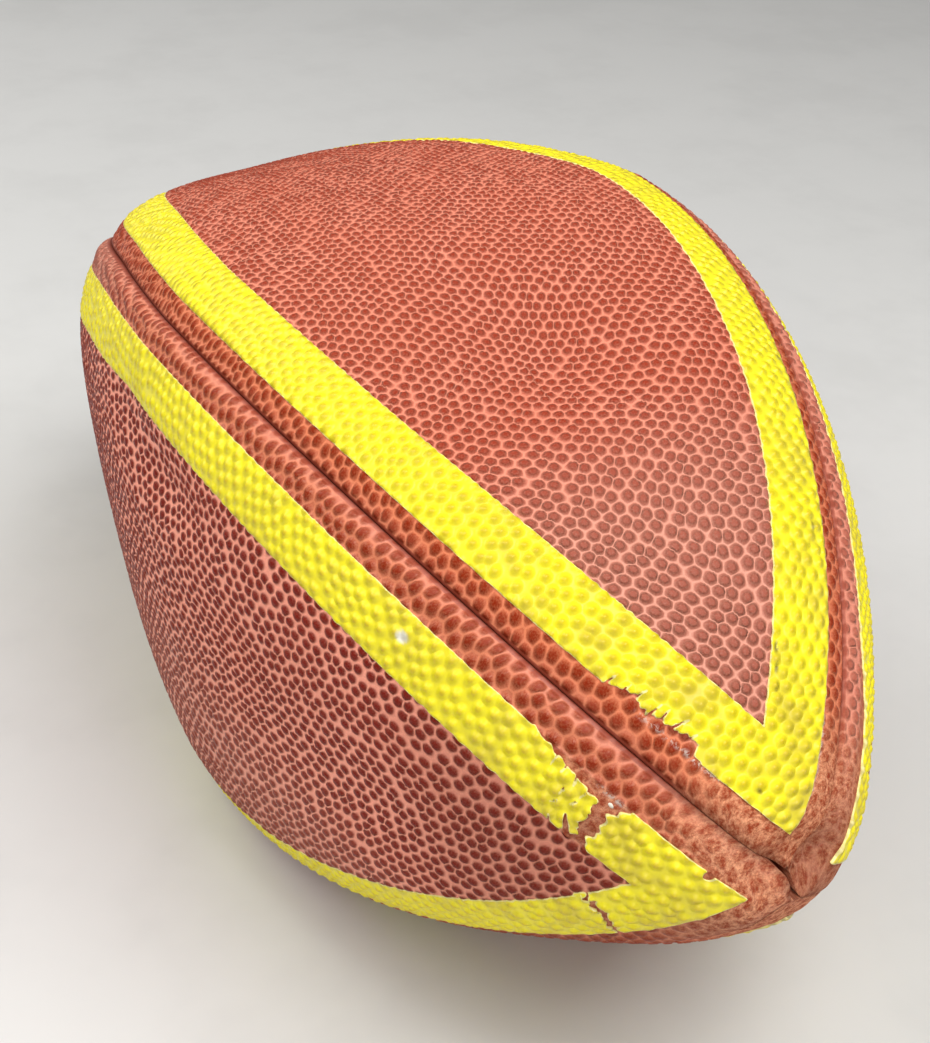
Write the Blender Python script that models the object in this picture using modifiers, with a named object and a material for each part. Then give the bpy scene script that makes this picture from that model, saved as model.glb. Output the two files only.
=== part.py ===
"""A sewn football gone flat: four panels, worn stripe films, bladder, valve, lace and seam threads.

The ball lies on its underside. X runs along the ball towards its worn end, Z is up, and the origin is
on the surface it rests on, under the middle of the ball. All sizes below are in millimetres, and the
meshes are made in metres.
"""

import math
from collections import namedtuple
from functools import lru_cache

import bmesh
import bpy
import numpy as np
from mathutils import Matrix, Vector

MM = 0.001

# --- the ball's outer form -------------------------------------------------------------------------
HALF_LENGTH = 140.0          # tip to tip is twice this
TOP_REACH = 66.0             # centre line to the middle of each side, at mid length
BOTTOM_REACH = 74.0
RIGHT_REACH = 68.0
LEFT_REACH = 67.0
TOP_SLANT = 0.11             # how much a side grows from mid length to the worn end
RIGHT_SLANT = 0.01
LEFT_SLANT = 0.09
BOTTOM_TAPER = 0.31          # how much the underside draws in towards both ends
SECTION_POWER = 4.3          # superellipse power at mid length: 2 is round, more is squarer
SECTION_POWER_FALL = 2.0     # lost towards the tips
LENGTH_POWER = 1.93          # outline from the side: (1 - |s| ** power) ** bluntness
LENGTH_BLUNTNESS = 0.657
BOW_SIDE = 6.3               # the slack ball bends: its middle lies off the line through its tips
BOW_DOWN = 1.0
ROLL = math.radians(4.0)     # the ball has rolled a little towards its left side
REST_HEIGHT = 69.5           # centre line above the surface it lies on
FLOOR_BLEND = 2.0            # rounding where the underside meets that surface

# --- skin, seams and ribs ---------------------------------------------------------------------------
SKIN_SINK = 0.4              # the panels lie this far under the outer form, and the films fill it
SKIN_THICK = 2.8
WALL_DEPTH = SKIN_SINK + SKIN_THICK
END_INSET = 1.8              # at a tip a layer's depth counts this many times, because skin bunches up
SEAM_GAP = 0.3               # clear space between neighbouring panels
SEAM_SPREAD = 1.5            # the turned-in edges stand this far apart at their free ends
SPREAD_FALL = 2.2            # near the tips they close up again, from this many times the profile
GROOVE_DEPTH = 2.2
GROOVE_LIMIT = 0.35          # near the tips a groove is at most this share of the reach
LIP_WIDTH = 6.4
LIP_SHARES = (0.0, 0.12, 0.4)  # where a lip's lengthwise edges lie, as shares of its width
RIB_DEPTH = 9.0              # how far the turned-in panel edges reach below the outer form
RIB_THICK = 2.2
PLAIN_EDGE = 0.4             # a panel edge that isn't turned in reaches this far below the wall
TIP_OFFSET = 0.3             # each panel's point stays this far off the ball's axis

# --- stripe films -----------------------------------------------------------------------------------
FILM_THICK = 0.5
FILM_LIFT = 0.3              # clear space between film and panel
FILM_UNDER = SKIN_SINK - FILM_LIFT
FILM_OVER = FILM_UNDER - FILM_THICK
BELLY_RAMP = 3.0             # the underside's bare field comes out level with the film over this distance
BELLY_HALF = 90.0            # along X, where that ends
BELLY_FADE = 25.0
STRIPE_WIDTH = 11.0
STRIPE_SHARE = 0.75          # near the tips the stripe's columns take at most this share of a half width
STRIPE_INSET = {"top": 5.0, "left": 6.2, "right": 4.4, "bottom": 6.0}
LACE_SWING = 8.0             # beside the lacing the stripes swing this much further from the seam
LACE_SWING_FULL = 58.0       # along X, half the length over which they do
LACE_SWING_END = 104.0
TORN_LEG_END = 118.0         # where the left panel's upper leg is torn off, along X
TORN_LEG_SLANT = -3.0
FLAKE_START = 122.4          # the piece of film that stays at the left panel's point
FLAKE_SLANT = -2.2
CRACK = 120.4                # crack between that piece and the lower leg
CRACK_WIDTH = 0.8
CRACK_SLANT = -0.8
TORN_MARGIN = 4.0            # whole rows of film stop this far short of the torn end, and of the crack
CRACK_MARGIN = 1.8
FLAKE_MARGIN = 0.8
NIBBLED = (108.0, 126.0)     # stretch of the top stripe whose outer edge is chipped away
NIBBLE_PITCH = 2.0
NIBBLE_DEPTH = 1.6
NIBBLE_LEAST = 0.35          # share of that depth that is lost even between the chips

# --- bladder, valve ---------------------------------------------------------------------------------
BLADDER_DEPTH = 11.5         # under the outer form
BLADDER_WALL = 0.9
BLADDER_END = 6.0            # shorter than the skin by this much at each end
BLADDER_POINT = 4.0          # its last ring to its tip
BLADDER_SIDES = 24
BLADDER_STATIONS = 15
VALVE_ACROSS = 0.30          # share of the way from the lace seam up the right panel
VALVE_HEAD_RADIUS = 4.0
VALVE_NECK_RADIUS = 3.2
VALVE_FLANGE_RADIUS = 8.0
VALVE_FLANGE_GAP = 0.6       # between the skin and the flange under it
VALVE_FLANGE_THICK = 1.2
VALVE_LENGTH = 15.0
VALVE_EDGE = 0.4             # bevel round the head
NEEDLE_RADIUS = 0.8
NEEDLE_MOUTH = 0.7           # how much the bore widens at its mouth
NEEDLE_MOUTH_DEPTH = 0.6
VALVE_CLEARANCE = 0.4
ROUND_SIDES = 20             # sides of the valve and its hole
BLADDER_HOLE_SIDES = 16
BLADDER_HOLE = (25.0, 40.0)  # start below the skin, and length, of the valve's hole through the bladder
VALVE_HOLE = (6.0, 10.0)     # the same for its hole through the panel

# --- lacing -----------------------------------------------------------------------------------------
LACE_CROSSES = 8
LACE_PITCH = 13.0
EYELET_OFFSET = 7.5          # from the seam
EYELET_RADIUS = 1.7
LACE_WIDTH = 3.6
LACE_THICK = 1.3
LACE_RISE = 0.5              # clear space between lace and panel
LACE_RUN_HALF = 2.6          # half width of the lengthwise run
LACE_RUN_PAST = 5.0          # how far that run reaches past the end crosses
LACE_RUN_STEPS = 6           # steps in half its length
LACE_CROSS_RISE = 0.4        # the crosses lie higher than the run by this share of its thickness
LACE_CROSS_PAST = 1.6        # how far a cross reaches past its eyelets
LACE_LEG_RADIUS = 1.3
LACE_LEG_PAST = 0.5          # how far a leg reaches past the skin's inner face
LACE_LEG_SIDES = 8
EYELET_SIDES = 10
EYELET_HOLE = (5.0, 8.0)     # start below the skin, and length, of an eyelet's cutter
LACED_HALF = 66.0            # half length of the seam that is laced and not sewn
LINING_HALF = 59.0
LINING_WIDTH = 13.0
LINING_DEPTH = 5.3
LINING_THICK = 1.2
LINING_STEPS = (4, 3)        # steps in half its length and in half its width

# --- seam threads -----------------------------------------------------------------------------------
THREAD_DIAMETER = 0.7
THREAD_DEPTH = 7.6
THREAD_REACH = 0.80          # share of the half length that the stitching covers
THREAD_START = 16.0          # on the laced seam the stitching starts this far past the lacing
THREAD_POINTS = 22

# --- mesh fineness ----------------------------------------------------------------------------------
STATIONS = 27                # lengthwise steps from tip to tip
FIELD_STEPS = 3              # steps from a stripe's inner edge to the middle of a panel
INNER_STEPS = 10             # steps across a panel's inner face, shorter towards its seams
MERGE = 1e-6                 # in metres: points closer than this are one
OUTWARD_STEP = 1.0           # half the distance over which the skin's direction beside the lacing is taken
VALVE_STEP = 0.02            # the same at the valve, in stations and radians
TABLE_STEPS = 96             # steps of the table that turns distances across a panel into angles
SLOPE_STEP = 0.004           # step along the ball, in stations, over which a panel's taper is taken
STATION_GAP = 0.006          # least distance, in stations, between a stripe's corners and its other rows
HALVINGS = 40                # of a bisection

Seam = namedtuple("Seam", "angle twist bow")
SEAMS = {  # angle about the ball's axis from +Y, in degrees, and how it wanders along the ball
    "top_right": Seam(45.0 + 2.8, -3.2, 6.2),
    "top_left": Seam(135.0 - 1.1, -1.8, 0.3),
    "bottom_left": Seam(225.0 + 6.3, -8.1, 0.0),
    "bottom_right": Seam(315.0, 0.0, 0.0),
}
SEAM_BOW_CENTRE = 0.4
PANELS = {  # each panel runs anticlockwise, seen from the worn end, from its first seam to its second
    "top": ("top_right", "top_left"),
    "left": ("top_left", "bottom_left"),
    "bottom": ("bottom_left", "bottom_right"),
    "right": ("bottom_right", "top_right"),
}

Dent = namedtuple("Dent", "x across depth length width")
DENTS = {  # x and length in millimetres; across and width as shares of the panel's width
    "top": (Dent(50.0, 0.56, 4.2, 26.0, 0.24), Dent(14.0, 0.78, 1.4, 24.0, 0.08),
            Dent(-70.0, 0.45, 2.0, 30.0, 0.20)),
    "left": (Dent(14.0, 0.20, 2.2, 24.0, 0.06), Dent(62.0, 0.60, 1.8, 26.0, 0.20),
             Dent(-60.0, 0.50, 3.0, 34.0, 0.22)),
    "bottom": (),
    "right": (Dent(-12.0, 0.52, 4.5, 42.0, 0.20), Dent(66.0, 0.50, 2.0, 22.0, 0.18)),
}

Finish = namedtuple("Finish", "colour roughness metallic")
FINISHES = {
    "skin": Finish((0.40, 0.085, 0.055), 0.55, 0.0),
    "film": Finish((0.88, 0.76, 0.05), 0.45, 0.0),
    "rubber": Finish((0.03, 0.03, 0.03), 0.60, 0.0),
    "bladder": Finish((0.09, 0.08, 0.075), 0.50, 0.0),
    "lace": Finish((0.82, 0.80, 0.75), 0.60, 0.0),
    "lining": Finish((0.55, 0.50, 0.42), 0.85, 0.0),
    "thread": Finish((0.62, 0.56, 0.46), 0.80, 0.0),
}


# --- the outer form as formulas ---------------------------------------------------------------------
def profile(s):
    """Share of the full width left at station s, which runs from -1 to 1 along the ball."""
    return max(1.0 - abs(s) ** LENGTH_POWER, 0.0) ** LENGTH_BLUNTNESS


def seam_angle(seam, s):
    """Angle of a seam about the ball's axis at station s, in radians."""
    line = SEAMS[seam]
    return math.radians(line.angle + line.twist * s + line.bow * (s * s - SEAM_BOW_CENTRE))


def panel_angles(panel, s):
    """Start and end angle of a panel at station s, with the end always the larger."""
    start, end = (seam_angle(seam, s) for seam in PANELS[panel])
    return start, end if end > start else end + 2.0 * math.pi


def section_reach(s, angle):
    """Distance from the axis to the outer form at full width, for one angle or an array of them."""
    power = SECTION_POWER - SECTION_POWER_FALL * abs(s)
    side, up = np.cos(angle), np.sin(angle)
    reach_side = np.where(side > 0, RIGHT_REACH * (1 + RIGHT_SLANT * s), LEFT_REACH * (1 + LEFT_SLANT * s))
    reach_up = np.where(up > 0, TOP_REACH * (1 + TOP_SLANT * s), BOTTOM_REACH * (1 - BOTTOM_TAPER * s * s))
    return ((np.abs(side) / reach_side) ** power + (np.abs(up) / reach_up) ** power) ** (-1.0 / power)


def settle(height, floor):
    """Press a height flat against the floor level, with a rounded edge."""
    over = height - floor
    if over >= FLOOR_BLEND:
        return height
    if over <= -FLOOR_BLEND:
        return floor
    return floor + (over + FLOOR_BLEND) ** 2 / (4.0 * FLOOR_BLEND)


def dent_depth(panel, s, share):
    """How far the dents push the skin of a panel inwards at a station and a share of its width."""
    x = s * HALF_LENGTH
    return sum(d.depth * math.exp(-((x - d.x) / d.length) ** 2 - ((share - d.across) / d.width) ** 2)
               for d in DENTS[panel])


def place(s, angle, depth, sink=0.0, shift=0.0):
    """Point at a depth under the outer form, sunk further by grooves and dents, shifted sideways."""
    reach = profile(s) * (float(section_reach(s, angle)) - depth) - sink
    side = reach * math.cos(angle) - shift * math.sin(angle) + BOW_SIDE * (1.0 - s * s)
    up = reach * math.sin(angle) + shift * math.cos(angle) - BOW_DOWN * (1.0 - s * s)
    y = side * math.cos(ROLL) - up * math.sin(ROLL)
    z = side * math.sin(ROLL) + up * math.cos(ROLL) + REST_HEIGHT
    x = (HALF_LENGTH - END_INSET * depth) * s
    return Vector((x, y, settle(z, min(depth, WALL_DEPTH) - FILM_OVER))) * MM


@lru_cache(maxsize=None)
def width_table(panel, s):
    """Angles across a panel at a station and the distance along the skin to each, in millimetres."""
    start, end = panel_angles(panel, s)
    angles = np.linspace(start, end, TABLE_STEPS + 1)
    reach = profile(s) * section_reach(s, angles)
    steps = np.hypot(np.diff(reach * np.cos(angles)), np.diff(reach * np.sin(angles)))
    return angles, np.concatenate(([0.0], np.cumsum(steps)))


@lru_cache(maxsize=None)
def half_width(panel, s):
    """Half of the panel's width at a station, square to its seams and not to the axis."""
    ends = [max(min(s + step, 1.0), -1.0) for step in (-SLOPE_STEP, SLOPE_STEP)]
    widths = [width_table(panel, e)[1][-1] for e in ends]
    middles = [place(e, sum(panel_angles(panel, e)) / 2.0, 0.0) for e in ends]
    slope = (widths[1] - widths[0]) / 2.0 / ((middles[1] - middles[0]).length / MM)
    return width_table(panel, s)[1][-1] / 2.0 / math.hypot(1.0, slope)


def angle_at(panel, s, distance, from_end):
    """Angle of the point that lies a distance from one of the panel's seams, square to the seam."""
    angles, lengths = width_table(panel, s)
    along = distance * lengths[-1] / 2.0 / max(half_width(panel, s), 1e-6)
    if from_end:
        along = lengths[-1] - along
    return float(np.interp(along, lengths, angles))


def groove(distance):
    """Depth of the rolled lip at a distance from the seam."""
    close = min(max(1.0 - distance / LIP_WIDTH, 0.0), 1.0)
    return GROOVE_DEPTH * (1.0 - math.sqrt(1.0 - close * close))


def stripe_inset(panel, s, from_end):
    """Distance from a seam to the stripe beside it."""
    inset = STRIPE_INSET[panel]
    if PANELS[panel][1 if from_end else 0] == "bottom_right":
        past = (LACE_SWING_END - abs(s) * HALF_LENGTH) / (LACE_SWING_END - LACE_SWING_FULL)
        past = min(max(past, 0.0), 1.0)
        inset += LACE_SWING * past * past * (3.0 - 2.0 * past)
    return inset


def skin_depth(panel, s, distance, from_end):
    """Depth of a panel's outer face: the underside's bare field stands level with its stripe."""
    if panel != "bottom":
        return SKIN_SINK
    past = (distance - stripe_inset(panel, s, from_end) - STRIPE_WIDTH) / BELLY_RAMP
    fade = (BELLY_HALF - abs(s) * HALF_LENGTH) / BELLY_FADE
    return SKIN_SINK + (FILM_OVER - SKIN_SINK) * min(max(past, 0.0), 1.0) * min(max(fade, 0.0), 1.0)


def skin_point(panel, s, distance, from_end, depth):
    """Point on a layer of a panel, a distance from one of its seams, with groove, dents and seam gap."""
    angle = angle_at(panel, s, distance, from_end)
    start, end = panel_angles(panel, s)
    limit = GROOVE_LIMIT * profile(s) * float(section_reach(s, angle))
    share = (angle - start) / (end - start)
    sink = min(groove(distance), limit) + dent_depth(panel, s, share)
    return place(s, angle, depth, sink, SEAM_GAP * (0.5 - share))


def station_with_half_width(panel, half, end):
    """Station at one end of the ball where a panel has narrowed to a half width, by bisection."""
    inner, outer = 0.5 * end, (1.0 - MERGE) * end
    for _ in range(HALVINGS):
        middle = (inner + outer) / 2.0
        if half_width(panel, middle) > half:
            inner = middle
        else:
            outer = middle
    return (inner + outer) / 2.0


def stations(count=STATIONS):
    """Stations from tip to tip, closer together towards the tips."""
    turns = np.linspace(-math.pi / 2.0, math.pi / 2.0, count)
    return [float(math.sin(turn)) for turn in turns]


# --- mesh helpers -----------------------------------------------------------------------------------
def finish_material(name, finish):
    """A Principled material for one piece."""
    material = bpy.data.materials.new(name)
    material.use_nodes = True
    shader = material.node_tree.nodes["Principled BSDF"]
    shader.inputs["Base Color"].default_value = (*finish.colour, 1.0)
    shader.inputs["Roughness"].default_value = finish.roughness
    shader.inputs["Metallic"].default_value = finish.metallic
    return material


def add_object(name, mesh, finish, collection):
    """Put a mesh in the scene as a named piece with its own material."""
    obj = bpy.data.objects.new(name, mesh)
    collection.objects.link(obj)
    mesh.materials.append(finish_material(name, FINISHES[finish]))
    return obj


def mesh_of(bm, name, smooth=True):
    """Turn a bmesh into a mesh with faces outwards."""
    bmesh.ops.recalc_face_normals(bm, faces=bm.faces[:])
    if bm.calc_volume(signed=True) < 0.0:
        bmesh.ops.reverse_faces(bm, faces=bm.faces[:])
    mesh = bpy.data.meshes.new(name)
    bm.to_mesh(mesh)
    bm.free()
    if smooth:
        mesh.shade_smooth()
        mesh.set_sharp_from_angle(angle=math.radians(40.0))
    return mesh


def loft_rows(bm, rows):
    """Skin faces between rows of vertices; a row may be a single vertex."""
    for low, high in zip(rows, rows[1:]):
        count = max(len(low), len(high)) - 1
        for i in range(count):
            picks = ((low, i), (low, i + 1), (high, i + 1), (high, i))
            corners = list(dict.fromkeys(row[min(j, len(row) - 1)] for row, j in picks))
            if len(corners) > 2:
                bm.faces.new(corners)


def cut(target, cutter):
    """Cut one piece with another by an exact Boolean and apply it."""
    modifier = target.modifiers.new("cut", "BOOLEAN")
    modifier.operation = "DIFFERENCE"
    modifier.solver = "EXACT"
    modifier.object = cutter
    apply_modifiers(target)


def join(target, others):
    """Unite solids into one body by exact Booleans."""
    for other in others:
        modifier = target.modifiers.new("join", "BOOLEAN")
        modifier.operation = "UNION"
        modifier.solver = "EXACT"
        modifier.object = other
        apply_modifiers(target)
        remove_object(other)


def apply_modifiers(obj):
    """Replace an object's mesh with its evaluated one and drop its modifiers."""
    bpy.context.view_layer.update()
    evaluated = obj.evaluated_get(bpy.context.evaluated_depsgraph_get())
    mesh = bpy.data.meshes.new_from_object(evaluated)
    obj.modifiers.clear()
    obj.data = mesh


def remove_object(obj):
    """Take a helper object out of the file."""
    bpy.data.objects.remove(obj, do_unlink=True)


def peg(name, base, direction, length, radius, sides, collection):
    """A plain cylinder from a base point along a direction."""
    bm = bmesh.new()
    turn = direction.to_track_quat("Z", "Y").to_matrix().to_4x4()
    middle = Matrix.Translation(base + direction * (length / 2.0)) @ turn
    bmesh.ops.create_cone(bm, cap_ends=True, segments=sides, radius1=radius, radius2=radius,
                          depth=length, matrix=middle)
    obj = bpy.data.objects.new(name, mesh_of(bm, name, smooth=False))
    collection.objects.link(obj)
    return obj


# --- panels -----------------------------------------------------------------------------------------
def rib_depth(seam, s):
    """Depth of the turned-in edge: the laced stretch has none and keeps the plain skin's depth."""
    laced = seam == "bottom_right" and abs(s) * HALF_LENGTH < LACED_HALF
    return WALL_DEPTH + PLAIN_EDGE if laced else RIB_DEPTH


def panel_distances(panel, s, from_end):
    """Distances from a seam at which the panel's lengthwise edges lie, up to the panel's middle."""
    half = half_width(panel, s)
    inset = stripe_inset(panel, s, from_end)
    edges = [share * LIP_WIDTH for share in LIP_SHARES]
    edges += [inset, inset + STRIPE_WIDTH / 2.0, inset + STRIPE_WIDTH]
    shrink = min(1.0, STRIPE_SHARE * half / edges[-1])
    edges = [shrink * e for e in edges]
    return edges + [edges[-1] + (half - edges[-1]) * (i + 1) / (FIELD_STEPS + 1) for i in range(FIELD_STEPS)]


def panel_row(bm, panel, s):
    """Outer and inner vertices of one station, both from the first seam to the second."""
    half = half_width(panel, s)
    places = [(d, False) for d in panel_distances(panel, s, False) + [half]]
    places += [(d, True) for d in reversed(panel_distances(panel, s, True))]
    outer = [skin_point(panel, s, d, from_end, skin_depth(panel, s, d, from_end)) for d, from_end in places]

    start, end = panel_angles(panel, s)
    feet, sides = [], []
    for sign, seam, edge in ((1.0, PANELS[panel][0], start), (-1.0, PANELS[panel][1], end)):
        depth = rib_depth(seam, s)
        spread = SEAM_SPREAD * min(1.0, SPREAD_FALL * profile(s)) if depth == RIB_DEPTH else 0.0
        mouth = sign * max(SEAM_GAP, spread) / 2.0
        foot = edge + sign * RIB_THICK / (float(section_reach(s, edge)) * math.sqrt(profile(s)))
        sides.append([place(s, edge, depth, 0.0, mouth), place(s, foot, depth, 0.0, mouth)])
        feet.append(foot)
    lining = []
    for turn in np.linspace(0.0, math.pi, INNER_STEPS + 1):
        angle = feet[0] + (feet[1] - feet[0]) * (1.0 - math.cos(turn)) / 2.0
        lining.append(place(s, angle, WALL_DEPTH, dent_depth(panel, s, (angle - start) / (end - start))))
    inner = sides[0] + lining + sides[1][::-1]
    return [bm.verts.new(p) for p in outer], [bm.verts.new(p) for p in inner]


def panel_mesh(panel):
    """One skin panel as a closed solid: outer face, turned-in edges and inner face."""
    bm = bmesh.new()
    line = stations()
    outer_rows, inner_rows = [], []
    for s in line[1:-1]:
        outer, inner = panel_row(bm, panel, s)
        outer_rows.append(outer)
        inner_rows.append(inner)
    for s in (line[0], line[-1]):
        middle = sum(panel_angles(panel, s)) / 2.0
        ends = []
        for depth in (SKIN_SINK, WALL_DEPTH):
            tip = place(s, middle, depth)
            centre = Vector((tip.x, 0.0, REST_HEIGHT * MM))
            lean = Vector((0.0, math.cos(middle + ROLL), math.sin(middle + ROLL)))
            ends.append(bm.verts.new(centre + lean * TIP_OFFSET * MM))
        if s < 0:
            outer_rows.insert(0, [ends[0]])
            inner_rows.insert(0, [ends[1]])
        else:
            outer_rows.append([ends[0]])
            inner_rows.append([ends[1]])
    loft_rows(bm, outer_rows)
    loft_rows(bm, inner_rows)
    for edge in (0, -1):
        loft_rows(bm, [[outer[edge], inner[edge]] for outer, inner in zip(outer_rows, inner_rows)])
    return mesh_of(bm, "panel_" + panel)


# --- stripe films -----------------------------------------------------------------------------------
def film_vertex(bm, panel, s, distance, from_end):
    """One vertex of a film's underside, which remembers where the film's outer face lies above it."""
    layer = bm.verts.layers.float_vector.get("over") or bm.verts.layers.float_vector.new("over")
    vert = bm.verts.new(skin_point(panel, s, distance, from_end, FILM_UNDER))
    vert[layer] = skin_point(panel, s, distance, from_end, FILM_OVER)
    return vert


def film_row(bm, panel, s, from_end, chipped=0.0):
    """Three vertices across one leg of a stripe, from its outer edge to its inner edge."""
    half = half_width(panel, s)
    inset = stripe_inset(panel, s, from_end)
    near = min(inset + chipped, half)
    far = min(inset + STRIPE_WIDTH, half)
    return [film_vertex(bm, panel, s, near + (far - near) * i / 2.0, from_end) for i in range(3)]


def slanted_row(bm, panel, x, slant, from_end):
    """A stripe's torn end: its inner edge lies further along the ball than its outer edge by slant."""
    row = []
    for i in range(3):
        s = (x + slant * i / 2.0) / HALF_LENGTH
        near = STRIPE_INSET[panel]
        far = min(near + STRIPE_WIDTH, half_width(panel, s))
        row.append(film_vertex(bm, panel, s, near + (far - near) * i / 2.0, from_end))
    return row


def stripe_stations(panel, extra=()):
    """Stations of a stripe, with the points where its legs meet and where each end comes to a point."""
    corner = STRIPE_INSET[panel] + STRIPE_WIDTH
    ends = [station_with_half_width(panel, w, e) for e in (-1, 1) for w in (corner, STRIPE_INSET[panel])]
    low, high = min(ends), max(ends)
    inside = [s for s in stations() if low < s < high and all(abs(s - e) > STATION_GAP for e in ends)]
    return sorted(set(inside + ends + [x / HALF_LENGTH for x in extra]))


def nibble(x):
    """How far the top stripe's outer edge has chipped back at a place along the ball."""
    if not NIBBLED[0] < x < NIBBLED[1]:
        return 0.0
    turn = (x - NIBBLED[0]) / NIBBLE_PITCH
    return NIBBLE_DEPTH * (NIBBLE_LEAST + (1.0 - NIBBLE_LEAST) * (round(turn) % 2))


def add_film(name, legs, collection):
    """A stripe piece: the sheet that its legs' rows span, given its thickness away from the panel."""
    bm, rows_of_legs = legs
    for rows in rows_of_legs:
        loft_rows(bm, rows)
    bmesh.ops.remove_doubles(bm, verts=bm.verts[:], dist=MERGE)
    bmesh.ops.dissolve_degenerate(bm, dist=MERGE, edges=bm.edges[:])
    layer = bm.verts.layers.float_vector["over"]
    raised = bmesh.ops.extrude_face_region(bm, geom=bm.faces[:], use_keep_orig=True)
    for vert in (g for g in raised["geom"] if isinstance(g, bmesh.types.BMVert)):
        vert.co = vert[layer]
    bm.verts.layers.float_vector.remove(layer)
    return add_object(name, mesh_of(bm, name), "film", collection)


def whole_stripe(panel, extra=(), chipped=False):
    """Both legs of a whole stripe ring."""
    bm = bmesh.new()
    line = stripe_stations(panel, extra)
    legs = []
    for from_end in (False, True):
        nibbled = chipped and from_end
        legs.append([film_row(bm, panel, s, from_end, nibble(s * HALF_LENGTH) if nibbled else 0.0)
                     for s in line])
    return bm, legs


def left_stripe():
    """The left panel's stripe up to where its upper leg is torn and its lower leg is cracked."""
    bm = bmesh.new()
    line = stripe_stations("left")
    upper = [film_row(bm, "left", s, False) for s in line if s * HALF_LENGTH < TORN_LEG_END - TORN_MARGIN]
    upper.append(slanted_row(bm, "left", TORN_LEG_END, TORN_LEG_SLANT, False))
    lower = [film_row(bm, "left", s, True) for s in line if s * HALF_LENGTH < CRACK - CRACK_MARGIN]
    lower.append(slanted_row(bm, "left", CRACK - CRACK_WIDTH / 2.0, CRACK_SLANT, True))
    return bm, [upper, lower]


def left_flake():
    """The arrowhead of film that is still stuck at the left panel's worn point."""
    bm = bmesh.new()
    line = stripe_stations("left")
    upper = [slanted_row(bm, "left", FLAKE_START, FLAKE_SLANT, False)]
    upper += [film_row(bm, "left", s, False) for s in line if s * HALF_LENGTH > FLAKE_START + FLAKE_MARGIN]
    lower = [slanted_row(bm, "left", CRACK + CRACK_WIDTH / 2.0, CRACK_SLANT, True)]
    lower += [film_row(bm, "left", s, True) for s in line if s * HALF_LENGTH > CRACK + CRACK_MARGIN]
    return bm, [upper, lower]


# --- bladder, valve, lining -------------------------------------------------------------------------
def valve_frame():
    """Middle of the valve's outer face, and the direction out of the ball there."""
    start, end = panel_angles("right", 0.0)
    angle = start + (end - start) * VALVE_ACROSS
    step = VALVE_STEP
    middle = place(0.0, angle, SKIN_SINK, dent_depth("right", 0.0, VALVE_ACROSS))
    ahead = place(step, angle, SKIN_SINK, dent_depth("right", step, VALVE_ACROSS))
    up = place(0.0, angle + step, SKIN_SINK, dent_depth("right", 0.0, VALVE_ACROSS + step / (end - start)))
    out = (up - middle).cross(middle - ahead).normalized()
    away = middle - Vector((0.0, 0.0, REST_HEIGHT * MM))
    return middle, out if out.dot(away) > 0 else -out


def bladder_mesh():
    """The slack bladder's outer face as a closed form."""
    bm = bmesh.new()
    rows = []
    for s in stations(BLADDER_STATIONS)[1:-1]:
        row = []
        for i in range(BLADDER_SIDES):
            point = place(s, 2.0 * math.pi * i / BLADDER_SIDES, BLADDER_DEPTH)
            point.x *= 1.0 - BLADDER_END / HALF_LENGTH
            row.append(bm.verts.new(point))
        rows.append(row + row[:1])
    reach = rows[-1][0].co.x + BLADDER_POINT * MM
    tips = [[bm.verts.new((end * reach, 0.0, REST_HEIGHT * MM))] for end in (-1.0, 1.0)]
    loft_rows(bm, [tips[0]] + rows + [tips[1]])
    return mesh_of(bm, "bladder")


def add_bladder(collection, cutters):
    """Bladder with its wall, open at the valve."""
    obj = add_object("bladder", bladder_mesh(), "bladder", collection)
    wall = obj.modifiers.new("wall", "SOLIDIFY")
    wall.thickness = BLADDER_WALL * MM
    wall.offset = -1.0
    apply_modifiers(obj)
    middle, out = valve_frame()
    start, length = BLADDER_HOLE
    hole = peg("valve_hole_in_bladder", middle - out * start * MM, out, length * MM,
               (VALVE_NECK_RADIUS + VALVE_CLEARANCE) * MM, BLADDER_HOLE_SIDES, cutters)
    cut(obj, hole)
    remove_object(hole)
    return obj


def add_valve(collection):
    """Rubber valve turned about its axis: head, flange under the skin, neck and needle bore."""
    under = -SKIN_THICK - VALVE_FLANGE_GAP
    below = under - VALVE_FLANGE_THICK
    outline = ((NEEDLE_RADIUS + NEEDLE_MOUTH, 0.0), (VALVE_HEAD_RADIUS - VALVE_EDGE, 0.0),
               (VALVE_HEAD_RADIUS, -VALVE_EDGE), (VALVE_HEAD_RADIUS, under), (VALVE_FLANGE_RADIUS, under),
               (VALVE_FLANGE_RADIUS, below), (VALVE_NECK_RADIUS, below), (VALVE_NECK_RADIUS, -VALVE_LENGTH),
               (NEEDLE_RADIUS, -VALVE_LENGTH), (NEEDLE_RADIUS, -NEEDLE_MOUTH_DEPTH))
    bm = bmesh.new()
    verts = [bm.verts.new((r * MM, 0.0, z * MM)) for r, z in outline]
    for low, high in zip(verts, verts[1:] + verts[:1]):
        bm.edges.new((low, high))
    mesh = bpy.data.meshes.new("valve")
    bm.to_mesh(mesh)
    bm.free()
    obj = add_object("valve", mesh, "rubber", collection)
    turned = obj.modifiers.new("turned", "SCREW")
    turned.steps = ROUND_SIDES
    turned.render_steps = ROUND_SIDES
    turned.use_merge_vertices = True
    turned.merge_threshold = MERGE
    middle, out = valve_frame()
    obj.location = middle
    obj.rotation_euler = out.to_track_quat("Z", "Y").to_euler()
    return obj


def lace_angle(x, offset):
    """Angle of a point beside the laced seam: on the bottom panel below it, on the right one above."""
    s = x / HALF_LENGTH
    if offset < 0.0:
        return angle_at("bottom", s, -offset, True)
    return angle_at("right", s, offset, False)


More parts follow.
